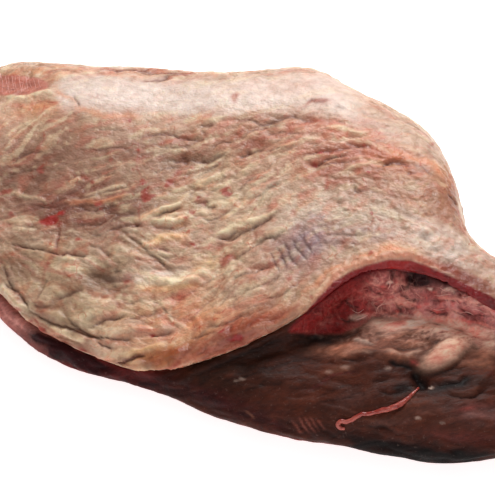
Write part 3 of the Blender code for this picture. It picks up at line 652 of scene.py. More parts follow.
# Fine strands over the window in the fat and on the cut face. Each is a path in pixels with a width in
# millimetres, and its tube's radius is a share of that.
Strand = namedtuple("Strand", "path width")
STRAND_RADIUS = 0.42
WINDOW_STRANDS = (
    Strand(((1, 76), (3, 84), (2, 93)), 0.45), Strand(((5, 75), (7, 84), (10, 94)), 0.5),
    Strand(((8, 75), (9, 84), (6, 94)), 0.4), Strand(((12, 75), (13, 84), (15, 94)), 0.5),
    Strand(((16, 75), (15, 85), (19, 93)), 0.4), Strand(((19, 75), (20, 84), (22, 93)), 0.5),
    Strand(((23, 76), (23, 84), (21, 92)), 0.4), Strand(((26, 76), (27, 84), (28, 91)), 0.45),
    Strand(((30, 77), (30, 84), (33, 90)), 0.4), Strand(((33, 78), (35, 84), (36, 89)), 0.45),
    Strand(((38, 79), (39, 84), (41, 88)), 0.4), Strand(((0, 86), (10, 89), (22, 88)), 0.35),
)
FACE_STRANDS = (
    Strand(((434, 295), (439, 296), (444, 295), (452, 294)), 0.6),
    Strand(((462, 298), (468, 297), (474, 296)), 0.6), Strand(((440, 288), (446, 291), (449, 290)), 0.7),
    Strand(((472, 304), (480, 306), (488, 305), (495, 308)), 0.6),
    Strand(((376, 314), (378, 307), (384, 304), (390, 304)), 0.6),
    Strand(((356, 320), (362, 318), (368, 315)), 1.0), Strand(((389, 281), (390, 285), (388, 289)), 0.9),
    Strand(((352, 310), (358, 313), (364, 309)), 0.45), Strand(((428, 306), (436, 310), (446, 309)), 0.5),
    Strand(((460, 313), (467, 312), (474, 315)), 0.5), Strand(((394, 296), (402, 300), (410, 299)), 0.4),
    Strand(((470, 309), (478, 310), (486, 314)), 0.45),
)
# The vein's path over the muscle, from the curl at its near end, and its radii on the way in millimetres.
# Its middle lies this far off the muscle and its wall has small lumps, all in metres.
VEIN_PIXELS = (
    (345, 428), (341, 428), (338, 425), (341, 421), (346, 422), (351, 420), (356, 417), (362, 414),
    (369, 414), (384, 410), (393, 408), (401, 404), (406, 400), (412, 395), (418, 389),
)
VEIN_RADII = (1.2, 1.5, 1.6, 1.5, 1.5, 1.4, 1.3, 1.5, 1.5, 1.7, 2.1, 2.0, 1.5, 1.2, 0.7)
VEIN_LIFT = 0.0006
VEIN_LUMP_SIZE = 0.004
VEIN_LUMPS = 0.0004

# What thinning leaves of a large piece, in triangles. The lean meat is thinned where it touches the fat and
# the fat's open side isn't near, and where it rests on the floor. These distances are in metres.
MOST_TRIANGLES = 196000
UNDER_FAT = 0.0025
OPEN_FAT = 0.007
RESTING = 0.0003

# How far the grain marked in the photograph reaches, in pixels, and the steps between two points of a path.
GRAIN_REACH = 38.0
CURVE_STEPS = 5

# The turn about Z of the fat's streaks, of those along its right edge and of the muscle's fibres.
FOLD_TURN = math.radians(48)
EDGE_TURN = math.radians(6)
FIBRE_TURN = math.radians(42)

# The stage: how far the floor lies under the meat, and where the round lights are and how wide, in metres.
FLOOR_DROP = 0.0005
KEY_PLACE = (-0.35, 1.0, 1.25)
KEY_SIZE = 0.7
FILL_PLACE = (0.9, -1.4, 1.0)
FILL_SIZE = 1.4


def length(name, description, default):
    """A length in metres."""
    return FloatProperty(name=name, description=description, default=default, unit="LENGTH", precision=5)


def share(name, description, default):
    return FloatProperty(
        name=name, description=description, default=default, subtype="FACTOR", min=0.0, max=4.0
    )


def angle(name, description, degrees):
    return FloatProperty(
        name=name, description=description, default=math.radians(degrees), subtype="ANGLE"
    )


def power(name, description, default):
    return FloatProperty(name=name, description=description, default=default, unit="POWER")


def tone(name, description, default):
    """A colour property, as the photograph shows it on a screen."""
    return FloatVectorProperty(
        name=name, description=description, default=default, subtype="COLOR_GAMMA", size=3
    )


class ViewSettings(bpy.types.PropertyGroup):
    azimuth: angle("Azimuth", "Camera's turn round the brisket", 30)
    elevation: angle("Elevation", "Camera's height above the horizon", 48)
    distance: length("Distance", "From the camera to the target", 1.1)
    height: length("View height", "What the picture's height spans at the target", 0.345)
    target: FloatVectorProperty(
        name="Target", description="What the middle of the picture shows", default=(0.0012, -0.0158, 0.03),
        subtype="TRANSLATION", unit="LENGTH",
    )


class FatSettings(bpy.types.PropertyGroup):
    mesh_step: length("Mesh step", "Size of the fat's faces", 0.00122)
    relief: share("Relief", "Share of their full height that the marked folds keep", 0.85)
    fold_height: length("Folds", "Height of the broad folds", 0.0007)
    rib_height: length("Ribs", "Height of the thin pale ribs", 0.00042)
    wrinkle_height: length("Wrinkles", "Height of the small wrinkles", 0.00045)
    fine_height: length("Fine wrinkles", "Height of the finest wrinkles", 0.00012)
    lobule_size: length("Lobule size", "Size of the small lumps of fat", 0.0066)
    lobule_height: length("Lobules", "Height of the small lumps of fat", 0.0011)
    richness: share("Richness", "How strong the fat's colours are", 1.08)
    warm_glaze: tone("Warm glaze", "Clear red-brown over the fat", (0.83, 0.72, 0.71))
    brown_glaze: tone("Brown glaze", "Clear brown over the fat", (0.87, 0.84, 0.83))
    yellow_glaze: tone("Yellow glaze", "Clear orange over the fat", (0.89, 0.73, 0.66))
    blue_glaze: tone("Blue glaze", "Clear silver over the fat", (0.89, 0.87, 0.91))
    pale_fat: tone("Pale fat", "Smooth fat along the crest", (0.945, 0.86, 0.815))
    pale_film: tone("Pale film", "Thin film over pale fat", (0.92, 0.83, 0.73))
    dull_fat: tone("Dull fat", "Dried fat of the near part", (0.84, 0.73, 0.60))
    yellow_fat: tone("Yellow fat", "Lumps along the lip", (0.93, 0.72, 0.52))
    orange_fat: tone("Orange fat", "Fat stained at the edges", (0.92, 0.62, 0.46))
    pink_film: tone("Pink film", "Membrane over the fat", (0.80, 0.63, 0.54))
    red_film: tone("Red film", "Membrane over red meat", (0.80, 0.52, 0.44))
    brown_film: tone("Brown film", "Dried membrane", (0.59, 0.425, 0.36))
    # Dark film is also painted shade in the hollows of the fat.
    dark_film: tone("Dark film", "Membrane in the hollows", (0.60, 0.48, 0.39))
    lip_rim: tone("Lip rim", "Stained rim of the cap", (0.84, 0.55, 0.45))
    bright_fat: tone("Bright fat", "Clean fat on top of the folds", (0.98, 0.89, 0.75))
    # Orange shade is painted shadow on the lower side of the cream folds.
    orange_shade: tone("Orange shade", "Stained fat beside the folds", (0.72, 0.47, 0.32))
    rust: tone("Rust", "Red-brown meat that shows through the membrane", (0.72, 0.38, 0.29))
    blue_film: tone("Blue film", "Silvery membrane", (0.73, 0.61, 0.60))
    blue_shade: tone("Hatching", "Shade between the marks on the silvery membrane", (0.50, 0.38, 0.39))
    crease: tone("Creases", "Shade and blood in the creases", (0.38, 0.23, 0.18))
    lip_meat: tone("Lip meat", "Smooth meat that clings under the lip", (0.53, 0.095, 0.105))
    blood: tone("Blood", "Blood spots", (0.64, 0.10, 0.09))
    window: tone("Window", "Meat seen through the fat", (0.78, 0.49, 0.42))


class LeanSettings(bpy.types.PropertyGroup):
    mesh_step: length("Mesh step", "Size of the lean meat's faces", 0.0012)
    relief: share("Relief", "Share of their full height that the marked folds keep", 0.6)
    fibre_height: length("Fibres", "Height of the membrane's streaks", 0.00022)
    swell_height: length("Swells", "Height of the membrane's soft folds", 0.0006)
    grain_height: length("Cut grain", "Height of the lumps on the cut face", 0.0013)
    richness: share("Richness", "How strong the meat's colours are", 1.15)
    # Wet shade is painted shade: the muscle's side in view is painted darker, as the light behind falls off
    # there.
    painted_front_shade: share("Wet shade", "How much darker the wet muscle is than dry meat", 0.50)
    raw_meat: tone("Raw meat", "Lean meat on the sides", (0.48, 0.17, 0.16))
    face_meat: tone("Cut face", "Lean meat of the cut face", (0.51, 0.17, 0.165))
    # The cut band is darker meat, and painted shade under the lip.
    face_band: tone("Cut band", "Smooth meat under the lip", (0.42, 0.10, 0.11))
    pale_meat: tone("Pale meat", "Torn meat with fat in it", (0.89, 0.62, 0.60))
    raw_bulge: tone("Bulges", "Torn meat that stands out of the cut face", (0.86, 0.40, 0.38))
    marbling: tone("Marbling", "Fat in the lean meat", (0.95, 0.66, 0.60))
    membrane: tone("Membrane", "Dried membrane of the lower muscle", (0.40, 0.20, 0.145))
    # Dark membrane is also painted shade under the lip and the nodule.
    dark_membrane: tone("Dark membrane", "Its darkest part", (0.24, 0.13, 0.09))
    brown_membrane: tone("Brown membrane", "Its middle tone", (0.47, 0.29, 0.24))
    red_membrane: tone("Red membrane", "Where the meat shows through", (0.52, 0.24, 0.22))
    # The bluish membrane is partly a painted sheen.
    blue_membrane: tone("Blue membrane", "Its bluish sheen", (0.50, 0.36, 0.34))
    pale_fascia: tone("Fascia", "Whitish tissue over the muscle", (0.80, 0.54, 0.45))
    bright_fascia: tone("Bright fascia", "Thick pale tissue beside the cut face", (1.0, 0.79, 0.71))
    # White fat is also the colour of the painted highlights on the muscle.
    white_fat: tone("White fat", "Thin white fat", (0.93, 0.80, 0.73))
    nodule_fat: tone("Nodule", "The lump of fat on the muscle", (0.95, 0.755, 0.665))
    red_strip: tone("Red strip", "Meat along the near edge", (0.28, 0.09, 0.09))
    pink_strip: tone("Pink strip", "Fibres along the near edge", (0.72, 0.42, 0.37))
    speckled_strip: tone("Speckled strip", "Side under the thin end of the fat", (0.88, 0.60, 0.56))
    # Dark blood is also painted shade under the bottom edge and in the recess and cracks of the cut face.
    black_blood: tone("Dark blood", "Pooled blood under the edge", (0.20, 0.05, 0.06))
    black_shade: tone("Shade", "Deep hollows", (0.10, 0.045, 0.035))


class VeinSettings(bpy.types.PropertyGroup):
    vein_colour: tone("Vein", "The vein's wall", (0.72, 0.35, 0.30))
    vein_blood: tone("Vein blood", "Blood in the vein", (0.56, 0.15, 0.12))
    strand: tone("Strands", "Connective strands", (0.94, 0.70, 0.65))
    strand_lift: length("Strand lift", "How far strands stand proud of the meat", 0.0001)


class StageSettings(bpy.types.PropertyGroup):
    floor_size: length("Floor size", "Side of the floor", 12.0)
    floor_tone: tone("Floor", "Colour of the floor", (0.97, 0.97, 0.97))
    floor_glow: share("Floor glow", "Light that the floor gives off itself", 0.80)
    key_power: power("Key power", "Power of the light behind", 24.0)
    fill_power: power("Fill power", "Power of the light in front", 9.0)
    world_light: share("World light", "Strength of the light all round", 0.22)


class View:
    """The photograph's camera, and how it sees points."""

    def __init__(self, settings):
        turn, self.rise = settings.azimuth, settings.elevation
        level = math.cos(self.rise)
        self.target = np.array(settings.target)
        self.back = np.array([math.sin(turn) * level, -math.cos(turn) * level, math.sin(self.rise)])
        self.right = np.array([math.cos(turn), math.sin(turn), 0.0])
        self.up = np.cross(self.back, self.right)
        self.place = self.target + self.back * settings.distance
        self.pixels_per_slope = PHOTO_HIGH * settings.distance / settings.height

    def pixels(self, points):
        """Where points show in the photograph."""
        offset = points - self.place
        depth = -(offset @ self.back)
        across = PHOTO_WIDE / 2 + (offset @ self.right) / depth * self.pixels_per_slope
        down = PHOTO_HIGH / 2 - (offset @ self.up) / depth * self.pixels_per_slope
        return np.stack([across, down], axis=1)

    def ray(self, pixel):
        """The direction from the camera through a pixel."""
        across = (pixel[0] - PHOTO_WIDE / 2) / self.pixels_per_slope
        down = (pixel[1] - PHOTO_HIGH / 2) / self.pixels_per_slope
        return Vector(self.right * across - self.up * down - self.back).normalized()

    def facing(self, points, normals):
        """0 where a surface turns away from the camera, 1 where it is well in view."""
        towards = self.place - points
        towards /= np.linalg.norm(towards, axis=1)[:, None]
        return ease(((normals * towards).sum(axis=1) - 0.02) / 0.25)


def ease(value):
    """0 to 1 with a soft start and end."""
    value = np.clip(value, 0.0, 1.0)
    return value * value * (3 - 2 * value)


def linear(tone_value):
    """A screen colour as light."""
    value = np.array(tone_value)
    return np.where(value <= 0.04045, value / 12.92, ((value + 0.055) / 1.055) ** 2.4)


def smooth_path(path):
    """A Catmull-Rom curve through the points of a path."""
    points = np.array(path, float)
    padded = np.vstack([2 * points[0] - points[1], points, 2 * points[-1] - points[-2]])
    made = []
    for k in range(len(points) - 1):
        a, b, c, d = padded[k : k + 4]
        for u in np.arange(CURVE_STEPS) / CURVE_STEPS:
            bend = (2 * a - 5 * b + 4 * c - d) * u**2 + (3 * b - a - 3 * c + d) * u**3
            made.append(0.5 * (2 * b + (c - a) * u + bend))
    made.append(points[-1])
    return np.array(made)


def perlin(places, size, shift=0.0):
    """Smooth noise from about -1 to 1 with lumps of the given size."""
    scaled = (places / size + shift).tolist()
    return np.array([noise.noise(place) for place in scaled])


def cell_edges(places, size):
    """0 on the borders of rounded cells of the given size, rising to 1 inside them."""
    found = [noise.voronoi(place)[0] for place in (places / size).tolist()]
    return np.array([min(1.0, (near[1] - near[0]) * 1.6) for near in found])


class Skin:
    """A piece's points as arrays, with what is sculpted and painted on them so far."""

    def __init__(self, piece, view, grain, relief):
        self.relief = relief
        self.piece = piece
        self.view = view
        self.places = points_of(piece)
        self.normals = points_of(piece, "normal")
        count = len(self.places)
        self.pixels = view.pixels(self.places)
        self.facing = view.facing(self.places, self.normals)
        self.height = np.zeros(count)
        self.crease_shade = np.zeros(count)
        self.colour = np.zeros((count, 3))
        self.run = self.flow(grain)
        # Noise is taken at bent places and marks are laid on a bent picture, so that both look ragged.
        bends = [perlin(self.places, 0.024, 20.0 + 7 * k) for k in range(3)]
        self.warped = self.places + 0.007 * np.stack(bends, axis=1)
        wide = [perlin(self.places, 0.014, 50.0 + 9 * k) for k in range(2)]
        small = [perlin(self.places, 0.0042, 80.0 + 9 * k) for k in range(2)]
        self.marked = self.pixels + np.stack([wide[k] * 3.6 + small[k] * 1.3 for k in range(2)], axis=1)

    def flow(self, grain):
        """The direction that folds run in at each point, from the grain marked round it."""
        total = np.zeros(len(self.pixels), complex)
        for mark in grain:
            away = np.linalg.norm(self.pixels - mark.centre, axis=1)
            total += np.exp(-((away / GRAIN_REACH) ** 2) + 2j * math.radians(mark.rise)) + 1e-9
        angle = np.angle(total) / 2
        far = np.cross(self.view.right, (0, 0, 1)) * -1
        steep = math.sin(self.view.rise)
        run = np.outer(np.cos(angle), self.view.right) + np.outer(np.sin(angle) / steep, far)
        run -= self.normals * (run * self.normals).sum(axis=1)[:, None]
        return run / np.maximum(np.linalg.norm(run, axis=1), 1e-6)[:, None]

    def right_of(self, column, wide):
        """0 up to a pixel column, rising to 1 over a width."""
        return ease((self.pixels[:, 0] - column) / wide)

    def below(self, row, high):
        """0 down to a pixel row, rising to 1 over a height."""
        return ease((self.pixels[:, 1] - row) / high)

    def streaks(self, size, reach, shift=0.0, steps=3):
        """Noise smeared along the grain, spread 1: its lumps are size wide and about twice reach long."""
        total = np.zeros(len(self.places))
        for k in range(-steps, steps + 1):
            weight = math.cos(k / (steps + 1) * math.pi / 2)
            total += weight * perlin(self.warped + self.run * (reach * k / steps), size, shift)
        return total / total.std()

    def beside(self, path, reach):
        """How many pixels each point lies from a path, and its share along it, for points within reach."""
        line = smooth_path(path)
        low, high = line.min(axis=0) - reach, line.max(axis=0) + reach
        inside = np.all((self.marked > low) & (self.marked < high), axis=1) & (self.facing > 0)
        chosen = np.nonzero(inside)[0]
        best = np.full(len(chosen), 1e9)
        along = np.zeros(len(chosen))
        points = self.marked[chosen]
        for k in range(len(line) - 1):
            start, step = line[k], line[k + 1] - line[k]
            t = np.clip(((points - start) @ step) / max(step @ step, 1e-9), 0, 1)
            away = np.linalg.norm(points - start - t[:, None] * step, axis=1)
            closer = away < best
            best[closer] = away[closer]
            along[closer] = (k + t[closer]) / (len(line) - 1)
        return chosen, best, along

    def line_weight(self, line, spread=1.0, sharp=2.0):
        """Points near a line and how strongly it marks them, fading at both ends."""
        chosen, away, along = self.beside(line.path, line.width * spread * 3.5)
        taper = ease(np.minimum(along, 1 - along) / 0.3 + 0.08)
        weight = np.exp(-((away / (line.width * spread)) ** sharp)) * taper * self.facing[chosen]
        return chosen, weight, away

    def crease(self, line):
        """A sharp valley with a soft raised shoulder on each side."""
        chosen, weight, away = self.line_weight(line, sharp=1.3)
        self.height[chosen] -= self.relief * weight * line.height * MM
        shoulder = np.exp(-(((away - line.width * 2.6) / (line.width * 1.6)) ** 2)) * weight**0.25
        self.height[chosen] += 0.10 * shoulder * line.height * MM
        # Marks the crease's middle for painted shade.
        near, mark, _ = self.line_weight(line, spread=0.7, sharp=1.4)
        self.crease_shade[near] = np.maximum(self.crease_shade[near], mark * min(1.0, 0.5 + line.height * 0.3))

    def ridge(self, line):
        """A soft raised line."""
        chosen, weight, _ = self.line_weight(line)
        self.height[chosen] += self.relief * weight * line.height * MM

    def ellipse(self, centre, long, wide, rise, sharp=1.0, plain=False):
        """1 in the middle of an ellipse, fading outwards, on the side that the camera sees."""
        away = (self.pixels if plain else self.marked) - centre
        turn = math.radians(rise)
        on_axis = away[:, 0] * math.cos(turn) - away[:, 1] * math.sin(turn)
        beside = away[:, 0] * math.sin(turn) + away[:, 1] * math.cos(turn)
        return np.exp(-(((on_axis / long) ** 2 + (beside / wide) ** 2) ** sharp)) * self.facing

    def press(self, creases, ridges, mounds):
        """Presses in and raises what is drawn on the piece."""
        for line in creases:
            self.crease(line)
        for line in ridges:
            self.ridge(line)
        for mound in mounds:
            self.height += self.ellipse(*mound[:4]) * mound.height * MM

    def paint(self, weight, colour):
        """Mixes a colour in, by the weight at each point."""
        weight = np.clip(weight, 0.0, 1.0)[:, None]
        self.colour = self.colour * (1 - weight) + np.asarray(colour) * weight

    def paint_patches(self, patches, uneven, settings):
        """Paints patches whose strength is uneven."""
        for patch in patches:
            weight = self.ellipse(*patch[:4]) * uneven * patch.strength
            self.paint(weight, linear(getattr(settings, patch.colour)))

    def glaze(self, patch, colour):
        """Lays a clear colour over what is painted."""
        weight = np.clip(self.ellipse(*patch[:4]) * 1.3, 0.0, 1.0)[:, None] * patch.strength
        self.colour *= 1 - weight + weight * np.asarray(colour)

    def stroke(self, line, strength, colour):
        """Paints along a line."""
        chosen, weight, _ = self.line_weight(line)
        weight = np.clip(weight * strength, 0.0, 1.0)[:, None]
        self.colour[chosen] = self.colour[chosen] * (1 - weight) + np.asarray(colour) * weight

    def paint_streaks(self, streaks, settings):
        """Paints streaks, each in its colour."""
        for streak in streaks:
            self.stroke(streak, streak.strength, linear(getattr(settings, streak.colour)))

    def deepen(self, amount):
        """Makes the colours stronger and leaves them as light as they were."""
        light = (self.colour @ (0.25, 0.65, 0.10))[:, None]
        self.colour = np.clip(light + (self.colour - light) * amount, 0.0, 1.0)

    def finish(self):
        """Moves the points and keeps the colours in the mesh."""
        mesh = self.piece.data
        moved = self.places + self.normals * self.height[:, None]
        mesh.vertices.foreach_set("co", moved.ravel())
        colours = np.hstack([np.clip(self.colour, 0.0, 1.0), np.ones((len(self.colour), 1))])
        attribute = mesh.color_attributes.new("tint", "FLOAT_COLOR", "POINT")
        attribute.data.foreach_set("color", colours.ravel())
        mesh.update()

    def keep(self, name, values):
        """Keeps a value at each point for the material to read."""
        attribute = self.piece.data.attributes.new(name, "FLOAT", "POINT")
        attribute.data.foreach_set("value", np.asarray(values, np.float32))


def activate(piece):
    """Makes a piece the only selected and active object."""
    bpy.ops.object.select_all(action="DESELECT")
    piece.select_set(True)
    bpy.context.view_layer.objects.active = piece


def apply_all(piece):
    """Applies the active piece's modifiers in their order."""
    for modifier in list(piece.modifiers):
        bpy.ops.object.modifier_apply(modifier=modifier.name)


def mend(piece, reach, quads=False):
    """Merges points within a reach, joins triangles to quads if asked and turns the faces outwards."""
    activate(piece)
    bpy.ops.object.mode_set(mode="EDIT")
    bpy.ops.mesh.select_all(action="SELECT")
    bpy.ops.mesh.remove_doubles(threshold=reach)
    if quads:
        bpy.ops.mesh.tris_convert_to_quads()
    bpy.ops.mesh.normals_make_consistent(inside=False)
    bpy.ops.object.mode_set(mode="OBJECT")


def round_off(piece, levels):
    """Rounds a piece's facets."""
    activate(piece)
    rounded = piece.modifiers.new("rounded", "SUBSURF")
    rounded.levels = levels
    rounded.render_levels = levels
    apply_all(piece)


def solid_copy(node, name):
    """A copy of a CAD node with its points merged and its triangles joined to quads."""
    piece = bpy.data.objects.new(name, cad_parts[node].data.copy())
    bpy.context.scene.collection.objects.link(piece)
    piece.data.materials.clear()
    mend(piece, 1e-5, quads=True)
    return piece


def refine(piece, step, hidden):
    """Rounds the solid's facets, gives it even small faces and thins those that never show."""
    round_off(piece, 2)
    even = piece.modifiers.new("even", "REMESH")
    even.mode = "VOXEL"
    even.voxel_size = step
    smooth = piece.modifiers.new("smooth", "SMOOTH")
    smooth.iterations = 2
    apply_all(piece)
    group = piece.vertex_groups.new(name="hidden")
    group.add([int(k) for k in np.nonzero(hidden(piece))[0]], 1.0, "REPLACE")
    faces = sum(len(polygon.vertices) - 2 for polygon in piece.data.polygons)
    thin = piece.modifiers.new("thin", "DECIMATE")
    thin.vertex_group = "hidden"
    thin.ratio = min(1.0, MOST_TRIANGLES / faces)
    apply_all(piece)
    piece.vertex_groups.clear()
    piece.data.shade_smooth()


def points_of(piece, what="co"):
    """A piece's points, or their normals, as an array."""
    values = np.empty(len(piece.data.vertices) * 3)
    piece.data.vertices.foreach_get(what, values)
    return values.reshape(-1, 3)


def under_the_fat(piece):
    """Points of the lean meat that the fat covers, away from the seam, and those it rests on."""
    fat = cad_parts["fat_cap"].data
    corners = [vertex.co for vertex in fat.vertices]
    below = BVHTree.FromPolygons(corners, [f.vertices for f in fat.polygons if f.normal.z < -0.5])
    above = BVHTree.FromPolygons(corners, [f.vertices for f in fat.polygons if f.normal.z >= -0.5])
    hidden = []
    for place in points_of(piece).tolist():
        covered = below.find_nearest(place, UNDER_FAT)[0] is not None
        deep = above.find_nearest(place, OPEN_FAT)[0] is None
        hidden.append(covered and deep or place[2] < RESTING)
    return np.array(hidden)


def underside(piece):
    """Points of the fat that lie on the lean meat."""
    return points_of(piece, "normal")[:, 2] < -0.35


class Shader:
    """Builds one material's nodes, each linked as it is made."""

    def __init__(self, name):
        self.material = bpy.data.materials.new(name)
        self.material.use_nodes = True
        self.tree = self.material.node_tree
        self.principled = self.tree.nodes["Principled BSDF"]

    def put(self, node, socket, value):
        if isinstance(value, bpy.types.NodeSocket):
            self.tree.links.new(value, node.inputs[socket])
        else:
            node.inputs[socket].default_value = value

    def node(self, kind, inputs=(), **settings):
        made = self.tree.nodes.new(kind)
        for key, value in settings.items():
            setattr(made, key, value)
        for socket, value in dict(inputs).items():
            self.put(made, socket, value)
        return made

    def attribute(self, name, output="Fac"):
        return self.node("ShaderNodeAttribute", attribute_name=name).outputs[output]

    def noise(self, size, turn=0.0, stretch=(1.0, 1.0, 1.0), detail=3.0, rough=0.55):
        """Noise with lumps of a size in metres, turned about Z and stretched along its axes."""
        place = self.node("ShaderNodeTexCoord").outputs["Object"]
        turned = self.node("ShaderNodeMapping", {"Vector": place, "Rotation": (0.0, 0.0, -turn)})
        scale = tuple(1.0 / (size * s) for s in stretch)
        scaled = self.node("ShaderNodeMapping", {"Vector": turned.outputs[0], "Scale": scale})
        inputs = {"Vector": scaled.outputs[0], "Scale": 1.0, "Detail": detail, "Roughness": rough}
        return self.node("ShaderNodeTexNoise", inputs).outputs["Fac"]

    def threads(self, size, width, turn=0.0, stretch=(1.0, 1.0, 1.0)):
        """Thin winding lines, 1 along their middle, where noise crosses its mean."""
        value = self.noise(size, turn, stretch, 1.2, 0.5)
        away = self.maths("ABSOLUTE", self.maths("SUBTRACT", value, 0.5))
        return self.spread(away, 0.0, width, 1.0, 0.0)

    def spread(self, value, low, high, to_low=0.0, to_high=1.0):
        """A value's range stretched to another, clamped."""
        ends = {"Value": value, "From Min": low, "From Max": high, "To Min": to_low, "To Max": to_high}
        return self.node("ShaderNodeMapRange", ends).outputs["Result"]

    def maths(self, operation, a, b=0.0):
        return self.node("ShaderNodeMath", {0: a, 1: b}, operation=operation).outputs[0]

    def times(self, a, b):
        return self.maths("MULTIPLY", a, b)

    def mix(self, kind, factor, a, b):
        made = self.node("ShaderNodeMix", data_type="RGBA", blend_type=kind)
        for index, value in ((0, factor), (6, a), (7, b)):
            self.put(made, index, value)
        return made.outputs[2]

    def tinge(self, kind, amount, colour, other):
        """A colour mixed by an amount with what another one makes of it."""
        return self.mix("MIX", amount, colour, self.mix(kind, 1.0, colour, rgb(other)))

    def bump(self, height):
        """The normal of a surface with a height in metres."""
        made = self.node("ShaderNodeBump", {"Height": height, "Distance": 1.0, "Strength": 1.0})
        return made.outputs["Normal"]

    def finish(self, **inputs):
        """Fills the surface's inputs, named with _ for each space."""
        for socket, value in inputs.items():
            self.put(self.principled, socket.replace("_", " "), value)
        return self.material


def rgb(value):
    """A screen colour as a material takes it."""
    return (*[float(v) for v in linear(value)], 1.0)


def fat_material():
    """Fat under a thin membrane: stains, fine streaks, small vessels and a soft wet gloss."""
    shader = Shader("folded fat")
    tint = shader.attribute("tint", "Color")
    stained = shader.attribute("stained")
    fine = shader.noise(0.0026, FOLD_TURN, (1.8, 1.0, 1.4), 4.0, 0.65)
    edge = shader.noise(0.0026, EDGE_TURN, (1.4, 1.0, 1.4), 4.0, 0.65)
    streak = shader.mix("MIX", shader.attribute("edgeward"), fine, edge)
    blots = shader.noise(0.0090, FOLD_TURN, (1.5, 1.0, 1.0), 4.0, 0.6)
    lights = shader.noise(0.0064, EDGE_TURN, (1.4, 1.0, 1.0), 4.0, 0.58)
    specks = shader.noise(0.0015, 0.0, (1.0, 1.0, 1.0), 2.0, 0.5)
    vessels = shader.times(shader.threads(0.014, 0.012), shader.spread(lights, 0.48, 0.62, 0.0, 0.8))
    colour = shader.mix("OVERLAY", shader.spread(stained, 0.25, 1.0, 0.08, 0.32), tint, streak)
    red = shader.times(shader.spread(blots, 0.50, 0.66, 0.0, 0.6), stained)
    colour = shader.tinge("MULTIPLY", red, colour, (0.97, 0.76, 0.70))
    pale = shader.spread(lights, 0.50, 0.66, 0.0, 0.6)
    colour = shader.tinge("MULTIPLY", pale, colour, (1.08, 1.11, 1.10))
    dull = shader.spread(lights, 0.50, 0.36, 0.0, 0.45)
    colour = shader.tinge("MULTIPLY", dull, colour, (0.86, 0.84, 0.80))
    marks = shader.maths("MAXIMUM", shader.spread(specks, 0.64, 0.74, 0.0, 0.4), vessels)
    colour = shader.tinge("MULTIPLY", shader.times(marks, stained), colour, (0.90, 0.55, 0.50))
    height = shader.maths("ADD", shader.times(streak, 0.0007), shader.times(specks, 0.0002))
    height = shader.maths("ADD", height, shader.times(lights, 0.0015))
    rough = shader.spread(streak, 0.3, 0.7, 0.28, 0.52)
    return shader.finish(
        Base_Color=colour, Roughness=rough, Normal=shader.bump(height), Specular_IOR_Level=0.45,
        Subsurface_Weight=0.10, Subsurface_Radius=(0.8, 0.35, 0.2), Subsurface_Scale=0.002,
    )


def lean_material():
    """Lean meat and its membrane: streaks along the muscle, threads of fat on the cut and a wet gloss."""
    shader = Shader("marbled lean")
    tint = shader.attribute("tint", "Color")
    cut = shader.attribute("cut")
    fibre = shader.noise(0.0024, FIBRE_TURN, (2.6, 1.0, 1.4), 4.0, 0.7)
    grain = shader.noise(0.0020, 0.0, (1.0, 1.0, 1.0), 4.0, 0.65)
    sweep = shader.noise(0.0080, FIBRE_TURN, (1.9, 1.0, 1.4), 5.0, 0.65)
    streak = shader.mix("MIX", cut, fibre, grain)
    colour = shader.mix("OVERLAY", 0.8, tint, streak)
    colour = shader.mix("OVERLAY", 0.85, colour, sweep)
    colour = shader.mix("OVERLAY", 0.6, colour, shader.noise(0.022, FIBRE_TURN, (2.2, 1.0, 1.4), 3.0, 0.6))
    sheet = shader.attribute("sheet")
    pale = shader.times(sheet, shader.spread(fibre, 0.54, 0.64, 0.0, 0.6))
    colour = shader.tinge("SCREEN", pale, colour, (0.62, 0.50, 0.44))
    shade = shader.times(sheet, shader.spread(fibre, 0.46, 0.36, 0.0, 0.7))
    colour = shader.tinge("MULTIPLY", shade, colour, (0.62, 0.52, 0.50))
    # Tiny pale specks screened over the meat: painted glints of wet light.
    wet = shader.spread(shader.noise(0.0022, 0.0, (1.0, 1.0, 1.0), 3.0, 0.6), 0.62, 0.72, 0.0, 0.3)
    colour = shader.tinge("SCREEN", wet, colour, (0.42, 0.34, 0.32))
    here = shader.spread(shader.noise(0.008), 0.42, 0.62)
    there = shader.spread(shader.noise(0.010, 1.0), 0.46, 0.62, 0.0, 0.7)
    broad = shader.times(shader.threads(0.0100, 0.030), here)
    thin = shader.times(shader.threads(0.0050, 0.040), there)
    fat = shader.times(shader.maths("MAXIMUM", broad, thin), shader.attribute("torn"))
    colour = shader.mix("MIX", fat, colour, rgb((0.92, 0.64, 0.58)))
    height = shader.maths("ADD", shader.times(streak, 0.0007), shader.times(fat, 0.0004))
    height = shader.maths("ADD", height, shader.times(sweep, 0.0010))
    dry = shader.spread(streak, 0.3, 0.7, 0.40, 0.66)
    rough = shader.maths("SUBTRACT", dry, shader.times(cut, 0.16))
    return shader.finish(
        Base_Color=colour, Roughness=rough, Normal=shader.bump(height), Specular_IOR_Level=0.15,
        Subsurface_Weight=0.05, Subsurface_Radius=(0.6, 0.15, 0.1), Subsurface_Scale=0.0015,
    )


def strand_material(name, wall, inside):
    """A vein or strand: its wall, streaked with what is inside."""
    shader = Shader(name)
    streak = shader.noise(0.003, math.radians(40), (2.5, 1.0, 1.0), 3.0, 0.6)
    colour = shader.mix("MIX", shader.spread(streak, 0.42, 0.62), rgb(wall), rgb(inside))
    return shader.finish(
        Base_Color=colour, Roughness=0.3, Normal=shader.bump(shader.times(streak, 0.0006)),
        Specular_IOR_Level=0.5, Subsurface_Weight=0.1, Subsurface_Radius=(0.8, 0.3, 0.2),
        Subsurface_Scale=0.002,
    )


